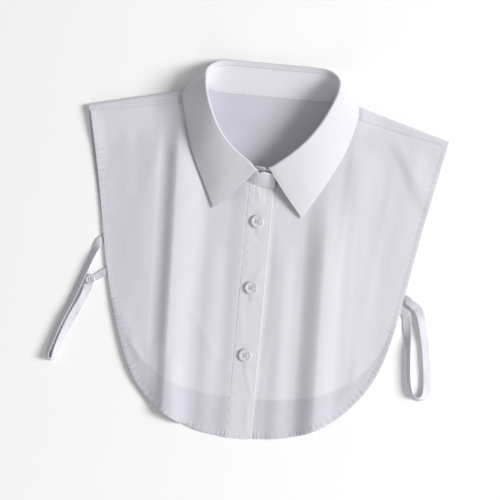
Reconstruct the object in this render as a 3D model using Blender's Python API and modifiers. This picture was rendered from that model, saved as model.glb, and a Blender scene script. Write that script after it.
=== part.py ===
"""A detachable shirt collar: a buttoned collar on a short front and back bib, laid flat on a table.

The sides are the wearer's, so the right front lies at -X. +Y points to the collar and +Z up from
the table. The tables and sizes are in millimetres, and MM turns them into Blender's metres.
"""

import math
from collections import namedtuple

import bmesh
import bpy
import numpy as np

MM = 0.001

# Walls and the gaps between pieces
WALL = 1.0
COLLAR_WALL = 1.2
SEAM_GAP = 0.3
LAYER_GAP = 0.35
UNDER_FRONT = WALL + LAYER_GAP
LAP_STEP = WALL + LAYER_GAP

# The button band on the right front, which laps over the left front
BAND_LEFT_X = -13.7
BAND_RIGHT_X = 11.5
LAP_RISE_STARTS_X = -32.0
LAP_RISE_ENDS_X = -14.7
LAP_UNDER_X = -12.0
LAP_UNDER_HEM_Y = -186.6
BAND_HEM_Y = -188.2
FRONT_CENTRE_HEM_Y = -188.0
# The share of each free edge's length that is armhole, the rest being hem
HEM_CORNER_SHARE = 0.66

# The free edges, from the end of the shoulder seam round the hem to the centre
EdgePoint = namedtuple("EdgePoint", "x y")
RIGHT_FRONT_EDGE = [
    EdgePoint(-178.3, 124.0),
    EdgePoint(-170.5, 88.0),
    EdgePoint(-160.0, 35.0),
    EdgePoint(-150.0, -20.0),
    EdgePoint(-139.0, -65.0),
    EdgePoint(-126.0, -105.0),
    EdgePoint(-107.0, -143.0),
    EdgePoint(-80.0, -168.5),
    EdgePoint(-45.0, -183.2),
    EdgePoint(-14.0, -188.0),
]
LEFT_FRONT_EDGE = [
    EdgePoint(179.5, 119.0),
    EdgePoint(172.3, 82.0),
    EdgePoint(163.5, 38.0),
    EdgePoint(153.6, -18.0),
    EdgePoint(144.0, -68.0),
    EdgePoint(131.5, -111.0),
    EdgePoint(111.0, -144.0),
    EdgePoint(82.0, -169.5),
    EdgePoint(46.0, -183.8),
    EdgePoint(11.8, -188.0),
]
BACK_RIGHT_EDGE = [
    EdgePoint(-181.0, 127.2),
    EdgePoint(-173.4, 88.0),
    EdgePoint(-161.6, 35.0),
    EdgePoint(-149.4, -20.0),
    EdgePoint(-137.4, -62.0),
    EdgePoint(-121.0, -98.0),
    EdgePoint(-96.0, -125.0),
    EdgePoint(-58.0, -142.5),
    EdgePoint(0.0, -149.0),
]
BACK_LEFT_EDGE = [
    EdgePoint(180.6, 123.0),
    EdgePoint(171.2, 82.0),
    EdgePoint(162.2, 38.0),
    EdgePoint(152.2, -18.0),
    EdgePoint(142.0, -64.0),
    EdgePoint(125.0, -101.0),
    EdgePoint(98.0, -127.5),
    EdgePoint(58.0, -143.0),
    EdgePoint(0.0, -149.0),
]

# Where the back folds over the shoulder, and how far its seam with the front lies below that fold
Shoulder = namedtuple("Shoulder", "neck_x neck_y tip_x tip_y seam_at_neck seam_at_tip")
RIGHT_SHOULDER = Shoulder(-78.4, 155.1, -181.2, 130.3, 12.0, 6.3)
LEFT_SHOULDER = Shoulder(78.4, 154.8, 181.2, 126.0, 13.5, 7.0)
SHOULDER_BEND = 3.0
SHOULDER_RISE = 3.2
SHOULDER_RISE_BELOW = (6.0, 45.0)
SHOULDER_RISE_X = (20.0, 50.0)

# The collar at stations round the neck, from the right front's lap over the back to the left
# front's: the seam with the bib, the fold at the top, and the leaf's outer edge where it has one
NeckStation = namedtuple("NeckStation", "seam_x seam_y fold_x fold_y fold_z edge_x edge_y")
NECK = [
    NeckStation(12.0, 63.4, 11.4, 77.0, 18.0, None, None),
    NeckStation(-4.0, 64.5, -6.0, 79.6, 21.8, -47.0, 38.5),
    NeckStation(-17.0, 69.5, -14.0, 86.2, 23.4, -52.5, 49.5),
    NeckStation(-33.0, 80.0, -27.0, 95.4, 25.6, -59.6, 64.0),
    NeckStation(-48.0, 93.5, -39.0, 106.3, 28.2, -67.0, 79.0),
    NeckStation(-60.0, 107.5, -48.6, 118.6, 30.6, -74.0, 95.0),
    NeckStation(-68.0, 122.0, -56.0, 133.5, 33.0, -79.5, 112.5),
    NeckStation(-72.4, 136.5, -61.0, 146.5, 34.0, -84.2, 131.0),
    NeckStation(-73.4, 148.0, -63.8, 157.6, 32.0, -87.8, 146.4),
    NeckStation(-71.5, 154.6, -65.2, 167.2, 27.5, -84.4, 155.8),
    NeckStation(-66.0, 155.0, -64.2, 175.8, 19.5, -76.4, 156.6),
    NeckStation(-58.0, 154.3, -58.0, 182.0, 12.5, -65.4, 152.2),
    NeckStation(-46.0, 154.0, -46.0, 186.2, 7.6, -50.0, 150.0),
    NeckStation(-23.0, 154.0, -24.0, 186.8, 5.8, -25.0, 149.5),
    NeckStation(0.0, 154.0, 0.0, 186.8, 5.4, 0.0, 149.5),
    NeckStation(23.0, 154.0, 24.0, 186.8, 5.8, 25.0, 149.5),
    NeckStation(46.0, 154.0, 46.6, 186.4, 7.6, 50.0, 150.0),
    NeckStation(58.0, 154.3, 58.4, 183.0, 12.5, 65.4, 152.4),
    NeckStation(66.0, 155.0, 64.6, 176.0, 19.5, 76.2, 156.8),
    NeckStation(71.5, 154.4, 65.2, 167.4, 27.5, 84.0, 155.9),
    NeckStation(72.6, 147.6, 63.0, 157.6, 32.0, 88.2, 146.4),
    NeckStation(70.2, 135.5, 58.0, 145.4, 34.0, 86.2, 131.0),
    NeckStation(63.6, 120.5, 51.6, 132.5, 33.2, 81.6, 114.0),
    NeckStation(54.8, 106.5, 43.0, 119.0, 31.4, 75.6, 98.0),
    NeckStation(44.0, 93.4, 33.4, 107.4, 29.6, 68.0, 82.5),
    NeckStation(31.0, 81.5, 22.4, 96.8, 27.0, 59.5, 66.5),
    NeckStation(17.5, 72.8, 12.2, 88.4, 24.6, 50.5, 51.0),
    NeckStation(5.2, 69.2, 3.0, 83.0, 22.6, 41.4, 36.3),
    NeckStation(-9.0, 70.6, -9.6, 83.6, 18.2, None, None),
]
LEAF_STATIONS = range(1, len(NECK) - 1)
# The leaf's edge lies on the fronts up to these stations, and between them under the back
RIGHT_SHOULDER_STATION = 9
LEFT_SHOULDER_STATION = 19
BAND_STATIONS = (0, 3)
POINTS_PER_STATION = 40
LEAF_AT_SHOULDER_Z = 5.2
LEAF_BY_SHOULDER_Z = 0.9
LEAF_UNDER_BACK_Z = 0.65
SEAM_ABOVE_UNDERSIDE = 0.6
NECK_END_ROOM = 1.0
LEAF_ABOVE_FRONT = 2.3
LEAF_ROLL_RADIUS = 1.7
# The stand's share of the way up to the fold, and the stations over which its bare ends reach it
STAND_SHARE = 0.84
BARE_END_STATIONS = 0.4
LEAF_BULGE = 1.2
# The leaf hangs slack along its front edges
LEAF_FRONT_SAG = 3.0
SAG_STATIONS = 1.6
FULL_BULGE_DROP = 20.0
NECK_CLEARANCE = 1.1
NECK_CLEARANCE_BACK = -0.5

# How far the leaf under the back lifts it off the table
NECK_LIFT = 2.7
NECK_LIFT_Y = (118.0, 140.0)
NECK_LIFT_X = (88.0, 116.0)
# How far the stand lifts the fronts round the neckline
NECK_RISE = 2.2
NECK_RISE_ENDS = 32.0
NECK_RISE_FADES_Y = (128.0, 146.0)
# The fronts lie this much further off the back where it is lifted
LIFT_SPREAD = 1.06
# Past the back's free edge the fronts come down to the table
DROP_STARTS = 8.0
DROP_ENDS = 34.0

# Hanging folds in the fronts: where each crest runs, its height and how far it spreads either way
Fold = namedtuple(
    "Fold", "top_x top_y low_x low_y height spread_right spread_left fade_top fade_low"
)
FOLDS = [
    Fold(-89.0, 142.0, -78.5, -178.0, 8.5, 19.0, 34.0, 60.0, 1.0),
    Fold(65.5, 96.0, 73.5, -180.0, 7.6, 21.0, 34.0, 90.0, 1.0),
    Fold(-109.0, 124.0, -100.0, -130.0, 3.2, 58.0, 14.0, 40.0, 60.0),
    Fold(92.0, 132.0, 101.0, -120.0, 2.4, 14.0, 30.0, 40.0, 90.0),
    Fold(121.0, 122.0, 146.0, 20.0, 1.6, 16.0, 18.0, 30.0, 60.0),
    Fold(27.0, 30.0, 34.0, -192.0, 1.5, 13.0, 14.0, 50.0, 1.0),
    Fold(-46.0, 28.0, -38.0, -192.0, 1.4, 20.0, 19.0, 60.0, 1.0),
]

# The three front buttons and the two on the side straps
Button = namedtuple("Button", "name x y radius")
FRONT_BUTTONS = [
    Button("button_top", -2.4, 29.0, 6.5),
    Button("button_middle", -2.4, -37.5, 6.5),
    Button("button_bottom", -2.2, -105.0, 6.5),
]
RIGHT_STRAP_BUTTON = Button("strap_button_right", -163.0, -43.8, 4.7)
LEFT_STRAP_BUTTON = Button("strap_button_left", 161.2, -41.2, 4.7)
RIGHT_STRAP_BUTTON_Z = 3.1
LEFT_STRAP_BUTTON_Z = 0.02
BUTTON_THICKNESS = 2.2
# The button's turned section in shares of its radius and its thickness, from the sunk middle
# over the rim to the back
TurnPoint = namedtuple("TurnPoint", "across up")
BUTTON_TURN = [
    TurnPoint(0.0, 0.77),
    TurnPoint(0.62, 0.77),
    TurnPoint(0.74, 1.0),
    TurnPoint(0.90, 1.0),
    TurnPoint(1.0, 0.72),
    TurnPoint(0.97, 0.35),
    TurnPoint(0.72, 0.0),
    TurnPoint(0.0, 0.0),
]
BUTTON_SIDES = 20
MERGE_MM = 0.01
BUTTON_HOLES = 4
BUTTON_HOLE_RADIUS = 0.8
BUTTON_HOLE_FROM_MIDDLE = 1.77
BUTTON_HOLE_SIDES = 6
HOLE_CUT_DEPTH = 3.0 * BUTTON_THICKNESS

# The straps, from the back's side edge down round the loop and up to the button. slope is the
# band's tilt off the table, -90 on its edge and less with its inner edge up, and raised is how
# far it is held off the table
StrapRow = namedtuple("StrapRow", "x y raised slope")
STRAP_WIDTH = 8.6
ROOT_STATIONS = 2.2
OFF_TABLE = 0.05
RIGHT_ROOT = (-0.22, 0.975)
LEFT_ROOT = (-0.22, -0.975)
RIGHT_STRAP = [
    StrapRow(-154.2, -2.0, 0.0, 0.0),
    StrapRow(-157.6, -5.4, 0.0, -12.0),
    StrapRow(-160.6, -12.6, 0.0, -38.0),
    StrapRow(-164.2, -22.5, 0.0, -50.0),
    StrapRow(-169.2, -36.0, 0.0, -46.0),
    StrapRow(-173.9, -49.0, 0.0, -50.0),
    StrapRow(-179.6, -65.0, 0.0, -46.0),
    StrapRow(-186.4, -82.0, 0.0, -60.0),
    StrapRow(-192.6, -99.0, 0.0, -60.0),
    StrapRow(-196.6, -113.0, 0.0, -62.0),
    StrapRow(-198.6, -120.6, 0.0, -70.0),
    StrapRow(-197.4, -126.2, 0.0, -76.0),
    StrapRow(-193.2, -125.4, 0.0, -72.0),
    StrapRow(-190.6, -116.4, 0.0, -58.0),
    StrapRow(-186.0, -103.0, 0.0, -44.0),
    StrapRow(-180.4, -89.0, 0.0, -30.0),
    StrapRow(-173.8, -74.0, 0.2, -26.0),
    StrapRow(-167.6, -60.0, 1.0, -34.0),
    StrapRow(-165.0, -51.6, 1.4, -12.0),
    StrapRow(-163.4, -44.0, 1.4, 0.0),
    StrapRow(-162.4, -38.4, 1.4, 0.0),
]
LEFT_STRAP = [
    StrapRow(146.9, -45.6, 0.0, 0.0),
    StrapRow(151.6, -47.4, 0.0, -4.0),
    StrapRow(155.0, -53.6, 0.0, -12.0),
    StrapRow(156.6, -63.0, 0.0, -20.0),
    StrapRow(158.2, -76.0, 0.0, -46.0),
    StrapRow(160.2, -90.0, 0.0, -66.0),
    StrapRow(161.4, -104.0, 0.0, -70.0),
    StrapRow(163.4, -118.0, 0.0, -72.0),
    StrapRow(167.4, -128.6, 0.0, -74.0),
    StrapRow(173.4, -133.0, 0.0, -66.0),
    StrapRow(179.6, -129.6, 0.0, -44.0),
    StrapRow(181.4, -119.4, 0.0, -26.0),
    StrapRow(180.2, -106.0, 0.0, -22.0),
    StrapRow(178.0, -91.0, 0.0, -26.0),
    StrapRow(175.4, -76.0, 0.2, -24.0),
    StrapRow(172.0, -63.0, 1.0, -26.0),
    StrapRow(169.0, -51.0, 2.0, -14.0),
    StrapRow(165.0, -43.6, 2.6, 0.0),
    StrapRow(158.6, -39.0, 2.6, 0.0),
]
# The tabs on the fronts' armhole edges that carry the strap buttons
TabRow = namedtuple("TabRow", "x y z")
TAB_WIDTH = 7.0
RIGHT_TAB = [
    TabRow(-147.2, -34.6, 1.9),
    TabRow(-150.4, -35.8, 1.3),
    TabRow(-157.0, -40.4, 0.6),
    TabRow(-162.0, -43.0, 0.55),
    TabRow(-166.4, -45.2, 0.55),
]
LEFT_TAB = [
    TabRow(151.2, -34.0, 1.9),
    TabRow(153.6, -34.8, 3.0),
    TabRow(157.6, -38.2, 4.4),
    TabRow(161.4, -41.0, 4.5),
    TabRow(164.8, -43.2, 4.5),
]

# A divisor's least size
TINY = 1e-9

# Points along a smooth line and along the back's outline, and mesh rows and columns
LINE_POINTS = 400
OUTLINE_POINTS = 120
FRONT_COLUMNS_NECK = 13
FRONT_COLUMNS_SHOULDER = 15
FRONT_ROWS = 22
HEM_CLOSENESS = 1.3
NECK_CLOSENESS = 1.5
BAND_COLUMNS = 7
BAND_ROWS = 44
BACK_COLUMNS_SHOULDER = 8
BACK_COLUMNS_NECK = 14
BACK_ROWS = 12
BEND_ROWS = 6
RETURN_ROWS = 3
COLLAR_ROWS = 57
STAND_COLUMNS = 4
LEAF_ROLL_COLUMNS = 5
LEAF_DOWN_COLUMNS = 6
STRAP_ROWS = 60
STRAP_COLUMNS = 2
TAB_ROWS = 8

CLOTH = (0.80, 0.80, 0.84, 1.0)
CLOTH_ROUGHNESS = 0.85
PEARL = (0.82, 0.82, 0.84, 1.0)
PEARL_ROUGHNESS = 0.25


# Curves and fields

def ramp(low, high, value):
    """0 below low and 1 above high, with a smooth rise between."""
    t = np.clip((np.asarray(value, float) - low) / (high - low), 0.0, 1.0)
    return t * t * (3.0 - 2.0 * t)


def natural_cubic(knots, values, at):
    """A natural cubic spline through values at the knots, read at other places."""
    step = np.diff(knots)
    slope = np.diff(values, axis=0) / step[:, None]
    size = len(knots)
    matrix = np.eye(size)
    rhs = np.zeros_like(values)
    for i in range(1, size - 1):
        matrix[i, i - 1 : i + 2] = step[i - 1], 2.0 * (step[i - 1] + step[i]), step[i]
        rhs[i] = 6.0 * (slope[i] - slope[i - 1])
    bend = np.linalg.solve(matrix, rhs)
    i = np.clip(np.searchsorted(knots, at) - 1, 0, size - 2)
    a = (at - knots[i])[:, None]
    b = (knots[i + 1] - at)[:, None]
    h = step[i][:, None]
    return (
        (bend[i] * b**3 + bend[i + 1] * a**3) / (6.0 * h)
        + (values[i] / h - bend[i] * h / 6.0) * b
        + (values[i + 1] / h - bend[i + 1] * h / 6.0) * a
    )


def smooth_line(points, count=LINE_POINTS):
    """A dense smooth line through the points, spaced by their chords."""
    points = np.array(points, float)
    chords = np.linalg.norm(np.diff(points, axis=0), axis=1)
    knots = np.concatenate([[0.0], np.cumsum(chords)])
    return natural_cubic(knots, points, np.linspace(0.0, knots[-1], count))


def resample(line, shares):
    """The points at these shares of a line's length."""
    steps = np.linalg.norm(np.diff(line, axis=0), axis=1)
    along = np.concatenate([[0.0], np.cumsum(steps)]) / steps.sum()
    return np.column_stack([np.interp(shares, along, column) for column in line.T])


def split_at(line, share):
    """A line's two parts, before and after this share of its length."""
    middle = resample(line, [share])
    steps = np.linalg.norm(np.diff(line, axis=0), axis=1)
    along = np.concatenate([[0.0], np.cumsum(steps)]) / steps.sum()
    return (
        np.concatenate([line[along < share], middle]),
        np.concatenate([middle, line[along > share]]),
    )


def distance_to(line, points):
    """The plan distance from each point to a line."""
    start, end = line[:-1, :2], line[1:, :2]
    run = end - start
    offset = points[:, None, :2] - start[None]
    t = np.clip((offset * run).sum(2) / np.maximum((run**2).sum(1), TINY), 0.0, 1.0)
    return np.linalg.norm(offset - t[..., None] * run, axis=2).min(1)


def inside(outline, points):
    """Whether each point lies inside a closed plan outline."""
    a, b = outline[:, :2], np.roll(outline[:, :2], -1, axis=0)
    x, y = points[:, 0][:, None], points[:, 1][:, None]
    crosses = (a[:, 1] > y) != (b[:, 1] > y)
    rise = np.where(b[:, 1] == a[:, 1], 1.0, b[:, 1] - a[:, 1])
    hit = x < (b[:, 0] - a[:, 0]) * (y - a[:, 1]) / rise + a[:, 0]
    return (crosses & hit).sum(1) % 2 == 1


# The collar's lines in plan

def seam_line(first, last):
    """The collar's seam with the bib between two stations, in plan."""
    rows = np.array([(s.seam_x, s.seam_y) for s in NECK], float)
    at = np.linspace(first, last, POINTS_PER_STATION * (last - first) + 1)
    return natural_cubic(np.arange(len(NECK), dtype=float), rows, at)


def moved_out(line, amount):
    """A plan line moved to its left-hand side, which is away from the neck."""
    run = np.gradient(line, axis=0)
    run /= np.linalg.norm(run, axis=1)[:, None]
    return line + np.column_stack([-run[:, 1], run[:, 0]]) * amount


NECKLINE = seam_line(1, len(NECK) - 2)


# Heights of the cloth over the table

def fold_line(shoulder):
    """The two ends of a shoulder's fold, and the plan direction from it to its seam."""
    neck = np.array([shoulder.neck_x, shoulder.neck_y])
    tip = np.array([shoulder.tip_x, shoulder.tip_y])
    run = (tip - neck) / np.linalg.norm(tip - neck)
    down = np.array([run[1], -run[0]])
    return neck, tip, down if down[1] < 0 else -down


def back_underside(points):
    """The height of the back's underside."""
    x, y = np.abs(points[:, 0]), points[:, 1]
    return NECK_LIFT * ramp(*NECK_LIFT_Y, y) * (1.0 - ramp(*NECK_LIFT_X, x))


def fold_heights(points):
    """What the hanging folds add to the fronts."""
    x, y = points[:, 0], points[:, 1]
    total = np.zeros(len(points))
    for fold in FOLDS:
        share = (fold.top_y - y) / (fold.top_y - fold.low_y)
        crest = fold.top_x + (fold.low_x - fold.top_x) * share
        across = np.where(
            x < crest,
            ramp(-fold.spread_right, 0.0, x - crest),
            1.0 - ramp(0.0, fold.spread_left, x - crest),
        )
        below_top = ramp(0.0, fold.fade_top, fold.top_y - y)
        above_low = ramp(0.0, fold.fade_low, y - fold.low_y + fold.fade_low)
        total += fold.height * across * below_top * above_low
    return total


def back_outline():
    """The back's closed outline in plan: both free edges and both shoulder folds."""
    right = smooth_line(BACK_RIGHT_EDGE, OUTLINE_POINTS)
    left = smooth_line(BACK_LEFT_EDGE, OUTLINE_POINTS)
    right_neck, right_tip, _ = fold_line(RIGHT_SHOULDER)
    left_neck, left_tip, _ = fold_line(LEFT_SHOULDER)
    return np.concatenate([right, left[::-1], [left_tip, left_neck, right_neck, right_tip]])


BACK_OUTLINE = back_outline()


def front_underside(points, laps_over):
    """The height of a front's underside. laps_over lifts the right front onto the left."""
    x = points[:, 0]
    height = back_underside(points) * LIFT_SPREAD + UNDER_FRONT
    past = np.where(inside(BACK_OUTLINE, points), 0.0, distance_to(BACK_OUTLINE, points))
    height -= UNDER_FRONT * ramp(DROP_STARTS, DROP_ENDS, past)
    for shoulder in (RIGHT_SHOULDER, LEFT_SHOULDER):
        neck, tip, down = fold_line(shoulder)
        below = (points[:, :2] - neck) @ down
        side = np.where(np.sign(x) == np.sign(neck[0]), ramp(*SHOULDER_RISE_X, np.abs(x)), 0.0)
        height += SHOULDER_RISE * side * (1.0 - ramp(*SHOULDER_RISE_BELOW, below))
    near = 1.0 - ramp(0.0, NECK_RISE_ENDS, distance_to(NECKLINE, points))
    height += NECK_RISE * near * (1.0 - ramp(*NECK_RISE_FADES_Y, points[:, 1]))
    height += fold_heights(points)
    if laps_over:
        height += LAP_STEP * ramp(LAP_RISE_STARTS_X, LAP_RISE_ENDS_X, x)
    return height


# Meshes

def material(name, colour, roughness):
    """A plain Principled material."""
    made = bpy.data.materials.new(name)
    made.use_nodes = True
    shader = made.node_tree.nodes["Principled BSDF"]
    shader.inputs["Base Color"].default_value = colour
    shader.inputs["Roughness"].default_value = roughness
    shader.inputs["Metallic"].default_value = 0.0
    return made


def cloth_wall(name, grid, thickness, offset, finish, keep=None):
    """A wall of cloth through a grid of points in millimetres, rows by columns by 3.

    offset is Solidify's: 1 builds the wall on the grid's upper side and 0 on both sides. keep is
    a mask of the grid's points, for a piece whose outline isn't four-sided.
    """
    rows, columns = grid.shape[:2]
    bpy.ops.mesh.primitive_grid_add(x_subdivisions=columns - 1, y_subdivisions=rows - 1)
    piece = bpy.context.object
    piece.name = name
    piece.data.name = name
    piece.data.vertices.foreach_set("co", (grid.reshape(-1, 3) * MM).ravel())
    if keep is not None:
        mesh = bmesh.new()
        mesh.from_mesh(piece.data)
        mesh.verts.ensure_lookup_table()
        spare = [mesh.verts[i] for i in np.flatnonzero(~keep.ravel())]
        bmesh.ops.delete(mesh, geom=spare, context="VERTS")
        mesh.to_mesh(piece.data)
        mesh.free()
    piece.data.shade_smooth()
    piece.data.materials.append(finish)
    solidify = piece.modifiers.new("wall", "SOLIDIFY")
    solidify.thickness = thickness * MM
    solidify.offset = offset
    solidify.use_even_offset = True
    return piece


def coons(bottom, top, start, end):
    """A grid of plan points between four boundary lines that share their corners."""
    u = np.linspace(0.0, 1.0, len(bottom))[None, :, None]
    v = np.linspace(0.0, 1.0, len(start))[:, None, None]
    across = (1.0 - v) * bottom[None] + v * top[None]
    along = (1.0 - u) * start[:, None] + u * end[:, None]
    corners = (1.0 - v) * ((1.0 - u) * bottom[0] + u * bottom[-1]) + v * (
        (1.0 - u) * top[0] + u * top[-1]
    )
    return across + along - corners


def with_heights(plan, heights):
    """A grid of plan points raised by a function of them."""
    flat = plan.reshape(-1, 2)
    return np.column_stack([flat, heights(flat)]).reshape(*plan.shape[:2], 3)


# The bib

def shoulder_seam(shoulder, shares):
    """Points of the seam below a shoulder's fold, from the neck outwards."""
    neck, tip, down = fold_line(shoulder)
    shares = np.asarray(shares)[:, None]
    depth = shoulder.seam_at_neck + (shoulder.seam_at_tip - shoulder.seam_at_neck) * shares
    return neck + (tip - neck) * shares + down * depth


def front_panel(name, neckline, centre_x, centre_low_y, shoulder, edge, laps_over, finish):
    """One front, from its centre edge to the armhole and from the hem to the shoulder seam."""
    seam = shoulder_seam(shoulder, np.linspace(0.0, 1.0, FRONT_COLUMNS_SHOULDER))
    neck = resample(neckline, np.linspace(0.0, 1.0, FRONT_COLUMNS_NECK))
    neck[-1] = seam[0]
    top = np.concatenate([neck, seam[1:]])
    free = smooth_line(edge)
    armhole, hem = split_at(free, HEM_CORNER_SHARE)
    hem = np.concatenate([[[centre_x, centre_low_y]], hem[::-1]])
    bottom = resample(hem, np.linspace(0.0, 1.0, len(top)))
    rows = np.linspace(0.0, 1.0, FRONT_ROWS) ** HEM_CLOSENESS
    centre = bottom[0] + (top[0] - bottom[0]) * rows[:, None]
    side = resample(armhole[::-1], rows)
    top[-1] = side[-1]
    plan = coons(bottom, top, centre, side)
    if laps_over:
        plan = plan[:, ::-1]
    grid = with_heights(plan, lambda points: front_underside(points, laps_over))
    return cloth_wall(name, grid, WALL, 1.0, finish)


def neck_part(shoulder, centre_x):
    """The neckline of one front, from its centre edge to the shoulder seam."""
    right = shoulder.neck_x < 0
    if right:
        line = moved_out(seam_line(1, RIGHT_SHOULDER_STATION - 1), NECK_CLEARANCE)
    else:
        line = moved_out(seam_line(LEFT_SHOULDER_STATION + 1, len(NECK) - 1), NECK_CLEARANCE)[::-1]
    seam_end = shoulder_seam(shoulder, [0.0])[0]
    beside = (line[:, 0] < centre_x) if right else (line[:, 0] > centre_x)
    line = line[beside & (line[:, 1] < seam_end[1] - NECK_END_ROOM)]
    start = np.array([[centre_x, line[0, 1]]])
    return np.concatenate([start, line[1:], seam_end[None]])


def back_panel(finish):
    """The back, which folds over each shoulder to meet the fronts below it."""
    sides = []
    for shoulder in (RIGHT_SHOULDER, LEFT_SHOULDER):
        neck, tip, down = fold_line(shoulder)
        shares = np.linspace(0.0, 1.0, BACK_COLUMNS_SHOULDER)[:, None]
        sides.append((neck + (tip - neck) * shares, down, shoulder))
    right_top = sides[0][0][::-1] + sides[0][1] * SHOULDER_BEND
    left_top = sides[1][0] + sides[1][1] * SHOULDER_BEND
    line = moved_out(seam_line(RIGHT_SHOULDER_STATION, LEFT_SHOULDER_STATION), NECK_CLEARANCE_BACK)
    neck = resample(line, np.linspace(0.0, 1.0, BACK_COLUMNS_NECK + 2))[1:-1]
    top = np.concatenate([right_top, neck, left_top])
    right_edge = smooth_line(BACK_RIGHT_EDGE)
    left_edge = smooth_line(BACK_LEFT_EDGE)
    right_armhole, right_hem = split_at(right_edge, HEM_CORNER_SHARE)
    left_armhole, left_hem = split_at(left_edge, HEM_CORNER_SHARE)
    hem = np.concatenate([right_hem, left_hem[::-1][1:]])
    bottom = resample(hem, np.linspace(0.0, 1.0, len(top)))
    rows = 1.0 - (1.0 - np.linspace(0.0, 1.0, BACK_ROWS)) ** NECK_CLOSENESS
    start = resample(right_armhole[::-1], rows)
    end = resample(left_armhole[::-1], rows)
    top[0], top[-1] = start[-1], end[-1]
    flat = with_heights(coons(bottom, top, start, end), back_underside)

    over = np.zeros((BEND_ROWS + RETURN_ROWS, len(top), 3))
    keep = np.zeros((BACK_ROWS + len(over), len(top)), bool)
    keep[:BACK_ROWS] = True
    for side, (fold, down, shoulder) in enumerate(sides):
        for k, share in enumerate(shares[:, 0]):
            column = BACK_COLUMNS_SHOULDER - 1 - k if side == 0 else k - BACK_COLUMNS_SHOULDER
            depth = shoulder.seam_at_neck + (shoulder.seam_at_tip - shoulder.seam_at_neck) * share
            over[:, column] = shoulder_turn(fold[k], down, depth, flat[-1, column, 2])
            keep[BACK_ROWS:, column] = True
    grid = np.concatenate([flat, over])
    return cloth_wall("back_panel", grid, WALL, 1.0, finish, keep)


def shoulder_turn(fold, down, depth, low_z):
    """One column of the back's turn over the shoulder, from below the fold to the front's seam."""
    inner = fold + down * SHOULDER_BEND
    top_z = front_underside(inner[None], False)[0] + WALL
    points = []
    for i in range(1, BEND_ROWS + 1):
        angle = math.pi * i / BEND_ROWS - math.pi / 2.0
        across = SHOULDER_BEND * (1.0 - math.cos(angle))
        middle, half = (top_z + low_z) / 2.0, (top_z - low_z) / 2.0
        plan = fold + down * across
        points.append([*plan, middle + half * math.sin(angle)])
    for i in range(1, RETURN_ROWS + 1):
        across = SHOULDER_BEND + (depth - SEAM_GAP - SHOULDER_BEND) * i / RETURN_ROWS
        plan = fold + down * across
        points.append([*plan, front_underside(plan[None], False)[0] + WALL])
    return np.array(points)


def front_band(finish):
    """The band down the right front's edge, which holds the buttonholes."""
    columns = np.linspace(BAND_LEFT_X, BAND_RIGHT_X, BAND_COLUMNS)
    line = moved_out(seam_line(*BAND_STATIONS), NECK_CLEARANCE)
    order = line[:, 0].argsort()
    top_y = np.interp(columns, line[order, 0], line[order, 1])
    rows = np.linspace(0.0, 1.0, BAND_ROWS)[:, None]
    y = BAND_HEM_Y + (top_y - BAND_HEM_Y) * rows
    plan = np.stack([np.broadcast_to(columns, y.shape), y], 2)
    grid = with_heights(plan, lambda points: front_underside(points, True))
    return cloth_wall("front_band", grid, WALL, 1.0, finish)


# The collar

def collar_lines():
    """The collar's seam, fold and leaf edge at each row round the neck, in millimetres."""
    seams, folds, edges = [], [], []
    for i, station in enumerate(NECK):
        plan = np.array([[station.seam_x, station.seam_y]])
        seams.append([*plan[0], seam_height(i, plan)])
        folds.append([station.fold_x, station.fold_y, station.fold_z])
        if i in LEAF_STATIONS:
            edges.append([station.edge_x, station.edge_y, edge_height(i, station)])
    edges = [edges[0], *edges, edges[-1]]
    knots = np.arange(len(NECK), dtype=float)
    at = np.linspace(0.0, len(NECK) - 1.0, COLLAR_ROWS)
    return at, *(natural_cubic(knots, np.array(rows, float), at) for rows in (seams, folds, edges))


def seam_height(i, plan):
    """Where the stand's lower edge lies at a station: level with the cloth that it is sewn to."""
    if i in (RIGHT_SHOULDER_STATION, LEFT_SHOULDER_STATION):
        return float(back_underside(plan)[0]) + WALL / 2.0 + SHOULDER_RISE / 2.0
    if RIGHT_SHOULDER_STATION < i < LEFT_SHOULDER_STATION:
        return float(back_underside(plan)[0]) + WALL / 2.0
    return float(front_underside(plan, i < RIGHT_SHOULDER_STATION)[0]) + SEAM_ABOVE_UNDERSIDE


def edge_height(i, station):
    """Where the leaf's edge lies at a station: on the front, round the shoulder or under the back."""
    if i < RIGHT_SHOULDER_STATION or i > LEFT_SHOULDER_STATION:
        plan = np.array([[station.edge_x, station.edge_y]])
        lies_at = front_underside(plan, i < RIGHT_SHOULDER_STATION)[0]
        return float(lies_at) + WALL + LEAF_ABOVE_FRONT
    if i in (RIGHT_SHOULDER_STATION, LEFT_SHOULDER_STATION):
        return LEAF_AT_SHOULDER_Z
    if i in (RIGHT_SHOULDER_STATION + 1, LEFT_SHOULDER_STATION - 1):
        return LEAF_BY_SHOULDER_Z
    return LEAF_UNDER_BACK_Z


def unit(vector):
    """A vector's direction."""
    return vector / np.linalg.norm(vector)


def collar_stand(finish):
    """The band round the neck, which stands up from the bib's neckline."""
    at, seams, folds, _ = collar_lines()
    past_leaf = np.maximum(LEAF_STATIONS[0] - at, at - LEAF_STATIONS[-1])
    reach = STAND_SHARE + (1.0 - STAND_SHARE) * ramp(0.0, BARE_END_STATIONS, past_leaf)
    across = np.linspace(0.0, 1.0, STAND_COLUMNS + 1)[None, :] * reach[:, None]
    grid = seams[:, None] + (folds - seams)[:, None] * across[..., None]
    return cloth_wall("collar_stand", grid, COLLAR_WALL, 0.0, finish)


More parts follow.
